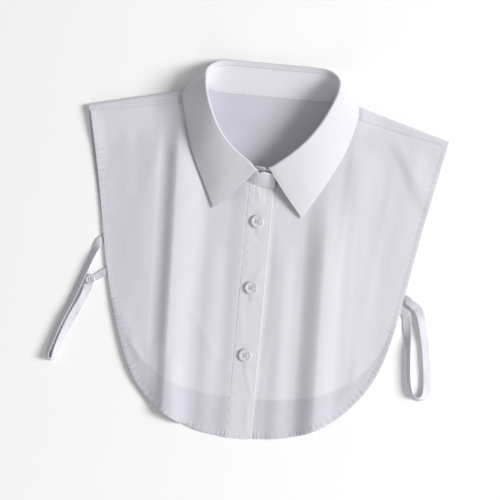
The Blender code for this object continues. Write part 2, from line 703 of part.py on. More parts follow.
def leaf_section(seam, fold, edge, sag):
    """One section of the leaf: up from the stand, over the fold and down to its edge."""
    rise = unit(fold - seam)
    down = unit(edge - fold)
    out = unit(down - rise * (down @ rise))
    start = seam + (fold - seam) * STAND_SHARE + rise * SEAM_GAP
    turn = math.pi - math.atan2(down @ out, -(down @ rise))
    centre = fold - rise * LEAF_ROLL_RADIUS + out * LEAF_ROLL_RADIUS
    points = [start]
    for i in range(LEAF_ROLL_COLUMNS + 1):
        angle = turn * i / LEAF_ROLL_COLUMNS
        spoke = rise * math.sin(angle) - out * math.cos(angle)
        points.append(centre + LEAF_ROLL_RADIUS * spoke)
    last = points[-1]
    normal = unit(rise * math.sin(turn) - out * math.cos(turn))
    steepness = min(1.0, (last[2] - edge[2]) / FULL_BULGE_DROP)
    bulge = LEAF_BULGE * steepness - sag
    for i in range(1, LEAF_DOWN_COLUMNS + 1):
        t = i / LEAF_DOWN_COLUMNS
        points.append(last + (edge - last) * t + normal * bulge * math.sin(math.pi * t))
    return points


def collar_leaf(finish):
    """The leaf, which folds over the stand's top and ends in two points at the front."""
    at, seams, folds, edges = collar_lines()
    low, high = LEAF_STATIONS[0], LEAF_STATIONS[-1]
    rows = [i for i, a in enumerate(at) if low <= a <= high]
    sags = LEAF_FRONT_SAG * (1.0 - ramp(0.0, SAG_STATIONS, np.minimum(at - low, high - at)))
    grid = np.array([leaf_section(seams[i], folds[i], edges[i], sags[i]) for i in rows])
    return cloth_wall("collar_leaf", grid, COLLAR_WALL, 0.0, finish)


# Buttons, straps and tabs

def button(spec, low_z, finish, flipped=False):
    """A four-hole button: a turned dish with a raised rim."""
    across, up = spec.radius * MM, BUTTON_THICKNESS * MM
    mesh = bpy.data.meshes.new(spec.name)
    lines = [(i, i + 1) for i in range(len(BUTTON_TURN) - 1)]
    mesh.from_pydata([(p.across * across, 0.0, p.up * up) for p in BUTTON_TURN], lines, [])
    piece = bpy.data.objects.new(spec.name, mesh)
    PARTS.objects.link(piece)
    screw = piece.modifiers.new("turned", "SCREW")
    screw.steps = screw.render_steps = BUTTON_SIDES
    screw.use_merge_vertices = True
    screw.merge_threshold = MERGE_MM * MM
    for i in range(BUTTON_HOLES):
        cut_hole(piece, spec, math.tau * (i + 0.5) / BUTTON_HOLES)
    piece.location = (spec.x * MM, spec.y * MM, low_z * MM)
    if flipped:
        piece.rotation_euler = (math.pi, 0.0, 0.0)
        piece.location.z += up
    piece.data.materials.append(finish)
    return piece


def cut_hole(piece, spec, angle):
    """Cuts one thread hole through a button."""
    bpy.ops.mesh.primitive_cylinder_add(
        vertices=BUTTON_HOLE_SIDES,
        radius=BUTTON_HOLE_RADIUS * MM,
        depth=HOLE_CUT_DEPTH * MM,
    )
    cutter = bpy.context.object
    cutter.name = f"{spec.name}_hole"
    cutter.parent = piece
    x, y = BUTTON_HOLE_FROM_MIDDLE * math.cos(angle), BUTTON_HOLE_FROM_MIDDLE * math.sin(angle)
    cutter.location = (x * MM, y * MM, BUTTON_THICKNESS * MM / 2.0)
    cutter.hide_render = True
    cutter.display_type = "WIRE"
    for group in cutter.users_collection:
        group.objects.unlink(cutter)
    CUTTERS.objects.link(cutter)
    cut = piece.modifiers.new("thread hole", "BOOLEAN")
    cut.operation = "DIFFERENCE"
    cut.object = cutter


def ribbon(name, centre, widths, directions, finish):
    """A flat band along a line, whose width lies along the given directions."""
    across = np.linspace(-0.5, 0.5, STRAP_COLUMNS + 1)[None, :, None]
    grid = centre[:, None] + directions[:, None] * widths[:, None, None] * across
    return cloth_wall(name, grid, WALL, 0.0, finish)


def strap(name, rows, root, finish):
    """A side strap, which lies in a loop and leans inwards. root is its end's direction."""
    knots = np.arange(len(rows), dtype=float)
    at = np.linspace(0.0, len(rows) - 1.0, STRAP_ROWS)
    x, y, raised, slope = natural_cubic(knots, np.array(rows, float), at).T
    slope = np.radians(np.clip(slope, -90.0, 0.0))
    lean = -STRAP_WIDTH / 2.0 * np.sin(slope) + WALL / 2.0 * np.cos(slope)
    z = lean + np.clip(raised, 0.0, None)
    centre = np.column_stack([x, y, z + OFF_TABLE])
    run = np.gradient(centre[:, :2], axis=0)
    run /= np.linalg.norm(run, axis=1)[:, None]
    outward = np.column_stack([run[:, 1], -run[:, 0]])
    outward += (np.array(root) - outward) * (1.0 - ramp(0.0, ROOT_STATIONS, at))[:, None]
    outward /= np.linalg.norm(outward, axis=1)[:, None]
    direction = np.column_stack([outward * np.cos(slope)[:, None], np.sin(slope)])
    return ribbon(name, centre, np.full(len(at), STRAP_WIDTH), direction, finish)


def tab(name, rows, finish):
    """A short tab from a front's armhole edge."""
    knots = np.arange(len(rows), dtype=float)
    centre = natural_cubic(knots, np.array(rows, float), np.linspace(0.0, len(rows) - 1.0, TAB_ROWS))
    run = np.gradient(centre[:, :2], axis=0)
    run /= np.linalg.norm(run, axis=1)[:, None]
    direction = np.column_stack([run[:, 1], -run[:, 0], np.zeros(len(run))])
    return ribbon(name, centre, np.full(len(centre), TAB_WIDTH), direction, finish)


def clear_scene():
    """Removes whatever the file holds."""
    for item in list(bpy.data.objects):
        bpy.data.objects.remove(item)


def collection(name):
    """A new collection in the scene."""
    made = bpy.data.collections.new(name)
    bpy.context.scene.collection.children.link(made)
    return made


clear_scene()
PARTS = collection("detachable_shirt_collar")
CUTTERS = collection("cutters")


def main():
    """Builds every piece."""
    cloth = material("cloth", CLOTH, CLOTH_ROUGHNESS)
    pearl = material("button", PEARL, PEARL_ROUGHNESS)
    pieces = [
        back_panel(cloth),
        front_panel(
            "right_front", neck_part(RIGHT_SHOULDER, BAND_LEFT_X - SEAM_GAP), BAND_LEFT_X - SEAM_GAP,
            FRONT_CENTRE_HEM_Y, RIGHT_SHOULDER, RIGHT_FRONT_EDGE, True, cloth,
        ),
        front_panel(
            "left_front", neck_part(LEFT_SHOULDER, LAP_UNDER_X), LAP_UNDER_X,
            LAP_UNDER_HEM_Y, LEFT_SHOULDER, LEFT_FRONT_EDGE, False, cloth,
        ),
        front_band(cloth),
        collar_stand(cloth),
        collar_leaf(cloth),
        strap("right_strap", RIGHT_STRAP, RIGHT_ROOT, cloth),
        strap("left_strap", LEFT_STRAP, LEFT_ROOT, cloth),
        tab("right_tab", RIGHT_TAB, cloth),
        tab("left_tab", LEFT_TAB, cloth),
    ]
    for spec in FRONT_BUTTONS:
        under = front_underside(np.array([[spec.x, spec.y]]), True)[0]
        pieces.append(button(spec, under + WALL + SEAM_GAP, pearl))
    pieces.append(button(RIGHT_STRAP_BUTTON, RIGHT_STRAP_BUTTON_Z, pearl))
    pieces.append(button(LEFT_STRAP_BUTTON, LEFT_STRAP_BUTTON_Z, pearl, flipped=True))
    for piece in pieces:
        for group in piece.users_collection:
            group.objects.unlink(piece)
        PARTS.objects.link(piece)


main()
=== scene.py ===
"""Dresses the detachable shirt collar: white poplin, its sewing and its pearly buttons.

Sizes and tables are in millimetres in the frame's axes, and MM turns them into metres. The sides
are the wearer's, so the right front lies at -X. The collar lies flat and face up on a pale floor.
"""

import logging
import math
from dataclasses import dataclass, field
from enum import Enum

import bpy
import numpy as np
from mathutils import Matrix, Vector


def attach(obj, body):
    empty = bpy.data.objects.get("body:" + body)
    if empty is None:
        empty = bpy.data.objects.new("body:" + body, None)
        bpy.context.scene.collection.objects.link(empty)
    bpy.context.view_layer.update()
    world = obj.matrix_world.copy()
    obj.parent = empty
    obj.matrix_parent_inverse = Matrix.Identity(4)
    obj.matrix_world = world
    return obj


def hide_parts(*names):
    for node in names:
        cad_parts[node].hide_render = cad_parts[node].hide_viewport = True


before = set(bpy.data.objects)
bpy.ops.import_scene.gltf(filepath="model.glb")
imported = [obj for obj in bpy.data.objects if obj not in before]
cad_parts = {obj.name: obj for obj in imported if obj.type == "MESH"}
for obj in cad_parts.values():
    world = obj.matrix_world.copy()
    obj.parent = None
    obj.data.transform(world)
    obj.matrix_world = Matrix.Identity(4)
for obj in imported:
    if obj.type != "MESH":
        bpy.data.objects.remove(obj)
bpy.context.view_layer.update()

Array = np.ndarray
MM = 0.001
BODY = "root"
log = logging.getLogger("shirt_collar")


class Slot(Enum):
    """The record's material slots."""

    CLOTH = "cloth"
    BUTTON = "button"


class Held(Enum):
    """How a sheet of cloth is held."""

    LAID = "laid"
    FOLDED = "folded"


class Side(Enum):
    """The wearer's sides, by the sign of X."""

    RIGHT = -1
    LEFT = 1


# Curves and fields


def ramp(low: float, high: float, value: Array) -> Array:
    """Rises smoothly from 0 at low to 1 at high."""
    t = np.clip((np.asarray(value, float) - low) / (high - low), 0.0, 1.0)
    return t * t * (3.0 - 2.0 * t)


def bell(distance: Array, width: float) -> Array:
    """A smooth hump, 1 at no distance and fading over its width."""
    return np.exp(-((distance / width) ** 2))


def natural_cubic(knots: Array, values: Array, at: Array) -> Array:
    """Reads a natural cubic spline.

    Args:
        knots: The parameter of each value.
        values: One row for each knot.
        at: The parameters to read at.

    Returns:
        One row for each parameter.
    """
    step = np.diff(knots)
    slope = np.diff(values, axis=0) / step[:, None]
    matrix = np.eye(len(knots))
    rhs = np.zeros_like(values)
    for i in range(1, len(knots) - 1):
        matrix[i, i - 1 : i + 2] = step[i - 1], 2.0 * (step[i - 1] + step[i]), step[i]
        rhs[i] = 6.0 * (slope[i] - slope[i - 1])
    bend = np.linalg.solve(matrix, rhs)
    i = np.clip(np.searchsorted(knots, at) - 1, 0, len(knots) - 2)
    a = (at - knots[i])[:, None]
    b = (knots[i + 1] - at)[:, None]
    h = step[i][:, None]
    return (
        (bend[i] * b**3 + bend[i + 1] * a**3) / (6.0 * h)
        + (values[i] / h - bend[i] * h / 6.0) * b
        + (values[i + 1] / h - bend[i + 1] * h / 6.0) * a
    )


def lengths_along(line: Array) -> Array:
    """The length from a line's start to each of its points."""
    return np.concatenate([[0.0], np.cumsum(np.linalg.norm(np.diff(line, axis=0), axis=1))])


def read_along(values: Array, along: Array, at: Array) -> Array:
    """A line's values at these lengths from its start."""
    return np.column_stack([np.interp(at, along, column) for column in values.T])


def headings(line: Array) -> Array:
    """The direction of a line at each of its points."""
    run = np.gradient(line, axis=0)
    return run / np.linalg.norm(run, axis=1)[:, None]


def smooth_line(points: list, count: int = 240) -> Array:
    """A dense smooth line through the points, spaced by their chords.

    Args:
        points: The points that it passes through.
        count: How many points the line gets.

    Returns:
        The line's points.
    """
    values = np.array(points, float)
    knots = lengths_along(values)
    return natural_cubic(knots, values, np.linspace(0.0, knots[-1], count))


def resample(line: Array, shares: Array) -> Array:
    """The points at these shares of a line's length."""
    along = lengths_along(line)
    return read_along(line, along, np.asarray(shares) * along[-1])


def split_at(line: Array, share: float) -> tuple[Array, Array]:
    """A line's two parts, before and after this share of its length.

    Args:
        line: The line's points.
        share: Where to part it, from 0 to 1.

    Returns:
        The part before and the part after, which share a point.
    """
    along = lengths_along(line)
    middle = resample(line, [share])
    before = line[along < share * along[-1]]
    after = line[along > share * along[-1]]
    return np.concatenate([before, middle]), np.concatenate([middle, after])


def nearest_on(line: Array, points: Array) -> tuple[Array, Array]:
    """Finds each point's nearest place on a plan line.

    Args:
        line: The line's points.
        points: The points to measure from.

    Returns:
        The distance to the line, and the length along the line to the nearest place.
    """
    start, run = line[:-1, :2], np.diff(line[:, :2], axis=0)
    squared = np.maximum((run**2).sum(1), 1e-9)
    steps = np.sqrt(squared)
    along = np.concatenate([[0.0], np.cumsum(steps)])
    distance, place = np.empty(len(points)), np.empty(len(points))
    for low in range(0, len(points), 4000):
        offset = points[low : low + 4000, None, :2] - start[None]
        t = np.clip((offset * run).sum(2) / squared, 0.0, 1.0)
        gaps = np.linalg.norm(offset - t[..., None] * run, axis=2)
        best = gaps.argmin(1)
        rows = np.arange(len(best))
        distance[low : low + 4000] = gaps[rows, best]
        place[low : low + 4000] = along[best] + t[rows, best] * steps[best]
    return distance, place


def inside(outline: Array, points: Array) -> Array:
    """Whether each point lies inside a closed plan outline.

    Args:
        outline: The outline's points in order.
        points: The points to test.

    Returns:
        True for each point inside.
    """
    a, b = outline[:, :2], np.roll(outline[:, :2], -1, axis=0)
    x, y = points[:, 0][:, None], points[:, 1][:, None]
    crosses = (a[:, 1] > y) != (b[:, 1] > y)
    rise = np.where(b[:, 1] == a[:, 1], 1.0, b[:, 1] - a[:, 1])
    hit = x < (b[:, 0] - a[:, 0]) * (y - a[:, 1]) / rise + a[:, 0]
    return (crosses & hit).sum(1) % 2 == 1


def moved_out(line: Array, amount: float) -> Array:
    """A plan line moved to its left-hand side by an amount in millimetres."""
    run = headings(line[:, :2])
    return line[:, :2] - np.column_stack([run[:, 1], -run[:, 0]]) * amount


def coons(bottom: Array, top: Array, start: Array, end: Array, u: Array, v: Array) -> Array:
    """Fills a four-sided plan outline with a grid.

    Args:
        bottom: The first row, at the shares u.
        top: The last row, at the shares u.
        start: The first column, at the shares v.
        end: The last column, at the shares v.
        u: The columns' shares.
        v: The rows' shares.

    Returns:
        Points by row, column and axis.
    """
    s, t = u[None, :, None], v[:, None, None]
    across = (1.0 - t) * bottom[None] + t * top[None]
    along = (1.0 - s) * start[:, None] + s * end[:, None]
    low = (1.0 - s) * bottom[0] + s * bottom[-1]
    high = (1.0 - s) * top[0] + s * top[-1]
    return across + along - (1.0 - t) * low - t * high


def relaxed(plan: Array, passes: int = 160) -> Array:
    """Evens a grid's inner points out, so that it doesn't fold where two sides meet smoothly.

    Args:
        plan: Points by row, column and axis.
        passes: How many times to even them out.

    Returns:
        The evened grid.
    """
    plan = plan.copy()
    for _ in range(passes):
        around = plan[:-2, 1:-1] + plan[2:, 1:-1] + plan[1:-1, :-2] + plan[1:-1, 2:]
        plan[1:-1, 1:-1] = around / 4.0
    return plan


def unit(vector: Array) -> Array:
    """A vector's direction."""
    return vector / np.linalg.norm(vector)


def grid_normals(grid: Array) -> Array:
    """The unit normals of a grid of points, up where columns run to +X and rows to +Y."""
    normals = np.cross(np.gradient(grid, axis=1), np.gradient(grid, axis=0))
    return normals / np.maximum(np.linalg.norm(normals, axis=2), 1e-9)[..., None]


# The collar's cut and lie, in millimetres

WALL = 1.0
LAYER_GAP = 0.35
UNDER_FRONT = WALL + LAYER_GAP
LAP_STEP = WALL + LAYER_GAP
LAP_RISE_STARTS_X = -32.0
BAND_LEFT_X = -13.7
BAND_RIGHT_X = 11.5
LAP_UNDER_X = -12.0
HEM_Y = -188.0
HEM_CORNER_SHARE = 0.66
RIGHT_FRONT_EDGE = [
    (-178.3, 124.0), (-170.5, 88.0), (-160.0, 35.0), (-150.0, -20.0), (-139.0, -65.0),
    (-126.0, -105.0), (-107.0, -143.0), (-80.0, -168.5), (-45.0, -183.2), (-14.0, -188.0),
]
LEFT_FRONT_EDGE = [
    (179.5, 119.0), (172.3, 82.0), (163.5, 38.0), (153.6, -18.0), (144.0, -68.0),
    (131.5, -111.0), (111.0, -144.0), (82.0, -169.5), (46.0, -183.8), (11.8, -188.0),
]
BACK_RIGHT_EDGE = [
    (-181.0, 127.2), (-173.4, 88.0), (-161.6, 35.0), (-149.4, -20.0), (-137.4, -62.0),
    (-121.0, -98.0), (-96.0, -125.0), (-58.0, -142.5), (0.0, -149.0),
]
BACK_LEFT_EDGE = [
    (180.6, 123.0), (171.2, 82.0), (162.2, 38.0), (152.2, -18.0), (142.0, -64.0),
    (125.0, -101.0), (98.0, -127.5), (58.0, -143.0), (0.0, -149.0),
]


@dataclass(frozen=True)
class Shoulder:
    """Where the back folds over a shoulder, and how far below that fold its seam lies."""

    neck_x: float
    neck_y: float
    tip_x: float
    tip_y: float
    seam_at_neck: float
    seam_at_tip: float

    def ends(self) -> tuple[Array, Array]:
        """The fold's ends at the neck and at the tip."""
        return np.array([self.neck_x, self.neck_y]), np.array([self.tip_x, self.tip_y])

    def down(self) -> Array:
        """The plan direction from the fold to its seam.

        Returns:
            A unit vector in plan.
        """
        neck, tip = self.ends()
        run = unit(tip - neck)
        down = np.array([run[1], -run[0]])
        return down if down[1] < 0 else -down

    def fold(self, shares: Array) -> Array:
        """Points of the fold from the neck outwards."""
        neck, tip = self.ends()
        return neck + (tip - neck) * np.asarray(shares)[:, None]

    def depth(self, share: Array) -> Array:
        """How far the seam lies below the fold."""
        return self.seam_at_neck + (self.seam_at_tip - self.seam_at_neck) * share

    def seam(self, shares: Array) -> Array:
        """Points of the seam from the neck outwards."""
        return self.fold(shares) + self.down() * self.depth(np.asarray(shares))[:, None]


RIGHT_SHOULDER = Shoulder(-78.4, 155.1, -181.2, 130.3, 12.0, 6.3)
LEFT_SHOULDER = Shoulder(78.4, 154.8, 181.2, 126.0, 13.5, 7.0)
SHOULDER_BEND = 3.0
SHOULDER_RISE = 3.2
SHOULDER_RISE_BELOW = (6.0, 45.0)
SHOULDER_RISE_X = (20.0, 50.0)


@dataclass(frozen=True)
class NeckStation:
    """The collar at one place round the neck: its seam, its fold and the leaf's edge."""

    seam_x: float
    seam_y: float
    fold_x: float
    fold_y: float
    fold_z: float
    edge_x: float | None
    edge_y: float | None


NECK = [
    NeckStation(12.0, 63.4, 11.4, 77.0, 18.0, None, None),
    NeckStation(-4.0, 64.5, -6.0, 79.6, 21.8, -47.0, 38.5),
    NeckStation(-17.0, 69.5, -14.0, 86.2, 23.4, -52.5, 49.5),
    NeckStation(-33.0, 80.0, -27.0, 95.4, 25.6, -59.6, 64.0),
    NeckStation(-48.0, 93.5, -39.0, 106.3, 28.2, -67.0, 79.0),
    NeckStation(-60.0, 107.5, -48.6, 118.6, 30.6, -74.0, 95.0),
    NeckStation(-68.0, 122.0, -56.0, 133.5, 33.0, -79.5, 112.5),
    NeckStation(-72.4, 136.5, -61.0, 146.5, 34.0, -84.2, 131.0),
    NeckStation(-73.4, 148.0, -63.8, 157.6, 32.0, -87.8, 146.4),
    NeckStation(-71.5, 154.6, -65.2, 167.2, 27.5, -84.4, 155.8),
    NeckStation(-66.0, 155.0, -64.2, 175.8, 19.5, -76.4, 156.6),
    NeckStation(-58.0, 154.3, -58.0, 182.0, 12.5, -65.4, 152.2),
    NeckStation(-46.0, 154.0, -46.0, 186.2, 7.6, -50.0, 150.0),
    NeckStation(-23.0, 154.0, -24.0, 186.8, 5.8, -25.0, 149.5),
    NeckStation(0.0, 154.0, 0.0, 186.8, 5.4, 0.0, 149.5),
    NeckStation(23.0, 154.0, 24.0, 186.8, 5.8, 25.0, 149.5),
    NeckStation(46.0, 154.0, 46.6, 186.4, 7.6, 50.0, 150.0),
    NeckStation(58.0, 154.3, 58.4, 183.0, 12.5, 65.4, 152.4),
    NeckStation(66.0, 155.0, 64.6, 176.0, 19.5, 76.2, 156.8),
    NeckStation(71.5, 154.4, 65.2, 167.4, 27.5, 84.0, 155.9),
    NeckStation(72.6, 147.6, 63.0, 157.6, 32.0, 88.2, 146.4),
    NeckStation(70.2, 135.5, 58.0, 145.4, 34.0, 86.2, 131.0),
    NeckStation(63.6, 120.5, 51.6, 132.5, 33.2, 81.6, 114.0),
    NeckStation(54.8, 106.5, 43.0, 119.0, 31.4, 75.6, 98.0),
    NeckStation(44.0, 93.4, 33.4, 107.4, 29.6, 68.0, 82.5),
    NeckStation(31.0, 81.5, 22.4, 96.8, 27.0, 59.5, 66.5),
    NeckStation(17.5, 72.8, 12.2, 88.4, 24.6, 50.5, 51.0),
    NeckStation(5.2, 69.2, 3.0, 83.0, 22.6, 41.4, 36.3),
    NeckStation(-9.0, 70.6, -9.6, 83.6, 18.2, None, None),
]
LEAF_STATIONS = range(1, len(NECK) - 1)
SHOULDER_STATIONS = (9, 19)
LEAF_AT_SHOULDER_Z = 5.2
LEAF_BY_SHOULDER_Z = 0.9
LEAF_UNDER_BACK_Z = 0.65
LEAF_ABOVE_FRONT = 2.3
SEAM_ABOVE_UNDERSIDE = 0.6
LEAF_ROLL_RADIUS = 1.1
STAND_SHARE = 0.84
LEAF_BULGE = 1.2
LEAF_FRONT_SAG = 3.0
SAG_STATIONS = 1.6
BARE_END_STATIONS = 0.4
FULL_BULGE_DROP = 20.0
NECK_END_ROOM = 1.0
NECK_LIFT = 2.7
NECK_LIFT_Y = (118.0, 140.0)
NECK_LIFT_X = (88.0, 116.0)
LIFT_SPREAD = 1.06
NECK_RISE = 2.2
NECK_RISE_ENDS = 32.0
NECK_RISE_FADES_Y = (128.0, 146.0)
DROP_STARTS = 8.0
DROP_ENDS = 34.0


@dataclass(frozen=True)
class Fold:
    """A hanging fold: where its crest runs, its height and how far it spreads either way."""

    top_x: float
    top_y: float
    low_x: float
    low_y: float
    height: float
    spread_right: float
    spread_left: float
    fade_top: float
    fade_low: float
    crispness: float = 0.0

    def rise(self, points: Array) -> Array:
        """The height that the fold adds at each point.

        Args:
            points: Plan points.

        Returns:
            The height added at each point.
        """
        x, y = points[:, 0], points[:, 1]
        share = (self.top_y - y) / (self.top_y - self.low_y)
        crest = self.top_x + (self.low_x - self.top_x) * share
        right = np.clip((x - crest) / self.spread_right + 1.0, 0.0, 1.0)
        left = np.clip(1.0 - (x - crest) / self.spread_left, 0.0, 1.0)
        t = np.where(x < crest, right, left)
        across = (1.0 - self.crispness) * ramp(0.0, 1.0, t) + self.crispness * t**2
        along = ramp(0.0, self.fade_top, self.top_y - y)
        along *= ramp(0.0, self.fade_low, y - self.low_y + self.fade_low)
        return self.height * across * along


FOLDS = [
    Fold(-89.0, 142.0, -78.5, -178.0, 8.5, 19.0, 34.0, 60.0, 1.0, 0.2),
    Fold(65.0, 96.0, 71.5, -180.0, 7.2, 21.5, 34.0, 115.0, 1.0, 0.15),
    Fold(-109.0, 124.0, -100.0, -130.0, 3.2, 58.0, 14.0, 40.0, 60.0),
    Fold(92.0, 132.0, 101.0, -120.0, 1.4, 14.0, 30.0, 40.0, 90.0),
    Fold(130.0, 124.0, 160.0, 72.0, 1.3, 15.0, 28.0, 20.0, 30.0),
    Fold(27.0, 30.0, 34.0, -192.0, 1.5, 13.0, 14.0, 50.0, 1.0),
    Fold(-46.0, 28.0, -38.0, -192.0, 1.4, 20.0, 19.0, 60.0, 1.0),
]


@dataclass(frozen=True)
class Crease:
    """A short soft ridge, or a trough where height is below zero, between two plan points."""

    x0: float
    y0: float
    x1: float
    y1: float
    height: float
    width: float

    def rise(self, points: Array) -> Array:
        """The height that the crease adds at each point.

        Args:
            points: Plan points.

        Returns:
            The height added at each point.
        """
        start, end = np.array([self.x0, self.y0]), np.array([self.x1, self.y1])
        run = end - start
        t = ((points[:, :2] - start) @ run) / (run @ run)
        off = points[:, :2] - start - np.clip(t, 0.0, 1.0)[:, None] * run
        fade = np.clip(np.minimum(t, 1.0 - t) * 4.0 + 0.35, 0.0, 1.0)
        return self.height * fade * np.exp(-((off**2).sum(1)) / self.width**2)


@dataclass(frozen=True)
class Ripple:
    """Gentle unevenness of laid cloth: a seeded sum of long plane waves."""

    seed: int
    height: float
    shortest: float
    longest: float
    lean: float = 0.0
    waves: int = 9
    lean_spread: float = 0.45

    def rise(self, points: Array) -> Array:
        """The height that the ripples add at each point.

        Args:
            points: Plan points.

        Returns:
            The height added at each point.
        """
        rng = np.random.default_rng(self.seed)
        total = np.zeros(len(points))
        for _ in range(self.waves):
            length = rng.uniform(self.shortest, self.longest)
            angle = rng.normal(self.lean, self.lean_spread)
            phase = rng.uniform(0.0, math.tau)
            across = points[:, 0] * math.cos(angle) + points[:, 1] * math.sin(angle)
            bend = 0.6 * np.sin(points[:, 1] / (length * 1.7) + phase * 1.3)
            total += np.sin(math.tau * across / length + phase + bend)
        return self.height * total / math.sqrt(self.waves)


FRONT_CREASES = [
    Crease(-97.0, 148.0, -92.0, 141.0, 0.9, 2.0),
    Crease(-94.0, 150.0, -90.0, 144.0, -0.6, 1.6),
    Crease(-104.0, 134.0, -110.0, 60.0, 0.5, 7.0),
    Crease(-130.0, 120.0, -124.0, 40.0, -0.4, 8.0),
    Crease(-119.0, -96.0, -104.0, -122.0, 0.7, 4.0),
    Crease(-136.0, -62.0, -118.0, -92.0, 0.45, 6.0),
    Crease(87.0, 128.0, 82.0, -20.0, 0.45, 4.5),
    Crease(128.0, 122.0, 150.0, 80.0, 0.4, 6.0),
    Crease(130.0, 100.0, 111.0, -60.0, 0.4, 6.0),
    Crease(112.0, 122.0, 106.0, 30.0, -0.2, 7.0),
    Crease(148.0, 116.0, 152.0, 60.0, 0.4, 7.0),
    Crease(14.5, 40.0, 14.0, -176.0, -0.35, 2.4),
    Crease(21.0, 20.0, 20.0, -120.0, 0.3, 4.0),
    Crease(-62.0, -60.0, -30.0, -112.0, 0.4, 6.0),
    Crease(-70.0, 60.0, -60.0, -60.0, 0.3, 9.0),
    Crease(112.0, -100.0, 96.0, -152.0, 0.45, 6.0),
    Crease(-75.0, -112.0, -69.0, -182.0, 1.6, 8.0),
    Crease(-95.0, -104.0, -91.0, -168.0, 1.2, 8.5),
]
SHOULDER_CREASES = [
    Crease(-100.0, 150.0, -93.0, 142.0, 0.5, 1.8),
    Crease(-95.0, 152.0, -88.0, 143.0, -0.4, 1.6),
    Crease(-88.0, 152.0, -84.0, 144.0, 0.5, 1.8),
    Crease(-130.0, 144.0, -122.0, 136.0, 0.25, 2.4),
    Crease(90.0, 152.0, 94.0, 140.0, 0.4, 2.0),
    Crease(120.0, 143.0, 126.0, 134.0, 0.25, 2.4),
    Crease(158.0, 132.0, 162.0, 125.0, -0.2, 2.0),
]
BAND_CREASES = [
    Crease(11.0, -13.0, 0.0, -28.0, 0.26, 2.6),
    Crease(2.0, -48.0, 8.5, -62.0, -0.16, 2.6),
    Crease(-1.0, -118.0, 8.0, -146.0, 0.26, 2.8),
    Crease(4.0, -116.0, 11.0, -130.0, -0.14, 2.4),
    Crease(-3.0, 18.0, 3.0, 6.0, -0.13, 2.6),
    Crease(-10.0, -62.0, -6.0, -92.0, 0.25, 3.0),
    Crease(4.0, -150.0, 6.0, -182.0, 0.25, 3.0),
    Crease(-6.0, 64.0, -2.0, 50.0, 0.3, 2.0),
    Crease(3.0, 62.0, 5.0, 46.0, -0.25, 2.2),
]
RIPPLES = [Ripple(11, 0.17, 40.0, 90.0), Ripple(5, 0.035, 12.0, 22.0, 0.15, 12)]


@dataclass(frozen=True)
class RolledHem:
    """A narrow turned hem: thicker by the edge, and drawn into small uneven puckers."""

    width: float = 4.2
    thicker: float = 0.22
    pucker: float = 0.18
    pitch: float = 6.9
    reach: float = 9.0
    groove: float = 0.1
    groove_inset: float = 0.8
    groove_width: float = 0.7
    seed: int = 3

    def rise(self, distance: Array, along: Array) -> Array:
        """The height that the hem adds.

        Args:
            distance: How far each point is from the free edge.
            along: How far each point is along that edge.

        Returns:
            The height added at each point.
        """
        rng = np.random.default_rng(self.seed)
        a, b, c = rng.uniform(0.0, math.tau, 3)
        wander = 1.5 * np.sin(along / 23.0 + a) + 0.9 * np.sin(along / 9.1 + b)
        size = 0.62 + 0.38 * np.sin(along / 31.0 + c)
        wave = np.sin(math.tau * along / self.pitch + wander) * size
        step = self.thicker * (1.0 - ramp(self.width - 0.5, self.width + 0.5, distance))
        groove = self.groove * bell(distance - self.width + self.groove_inset, self.groove_width)
        fade = bell((distance - self.width * 0.6).clip(0.0), self.reach / 2.2)
        return step - groove + self.pucker * wave * fade

    def gathered(self, distance: Array, along: Array) -> Array:
        """How much the finest puckers show, by the distance from the edge and the place along it.

        Args:
            distance: How far each point is from the free edge.
            along: How far each point is along that edge.

        Returns:
            How much they show at each point.
        """
        rng = np.random.default_rng(self.seed + 1)
        a, b = rng.uniform(0.0, math.tau, 2)
        size = 0.95 + 0.35 * np.sin(along / 27.0 + a) + 0.2 * np.sin(along / 11.0 + b)
        return size * (1.0 - ramp(self.width - 1.0, self.width + 5.0, distance))


@dataclass(frozen=True)
class Gather:
    """Fine puckers along a seam: how much they show on it, and how far they reach from it."""

    share: float
    reach: float

    def at(self, distance: Array) -> Array:
        """How much they show at these distances from the seam."""
        return self.share * bell(distance, self.reach)


HEM = RolledHem()
EVEN_BY_NECK = (4.0, 40.0)
BACK_HEM_BELOW_Y = -60.0
BACK_EDGE_BLUR = 1.5


def seam_line(first: float, last: float) -> Array:
    """The collar's seam with the bib between two stations, in plan.

    Args:
        first: The station that it starts from.
        last: The station that it ends at.

    Returns:
        The seam's plan points.
    """
    rows = np.array([(s.seam_x, s.seam_y) for s in NECK], float)
    count = int(40 * (last - first)) + 1
    return natural_cubic(np.arange(len(NECK), dtype=float), rows, np.linspace(first, last, count))


NECKLINE = seam_line(1, len(NECK) - 2)[::4]
BACK_OUTLINE = np.concatenate(
    [
        smooth_line(BACK_RIGHT_EDGE, 120),
        smooth_line(BACK_LEFT_EDGE, 120)[::-1],
        LEFT_SHOULDER.fold([1.0, 0.5, 0.0]),
        RIGHT_SHOULDER.fold([0.0, 0.5, 1.0]),
    ]
)


def back_lift(points: Array) -> Array:
    """The height of the back's underside."""
    x, y = np.abs(points[:, 0]), points[:, 1]
    return NECK_LIFT * ramp(*NECK_LIFT_Y, y) * (1.0 - ramp(*NECK_LIFT_X, x))


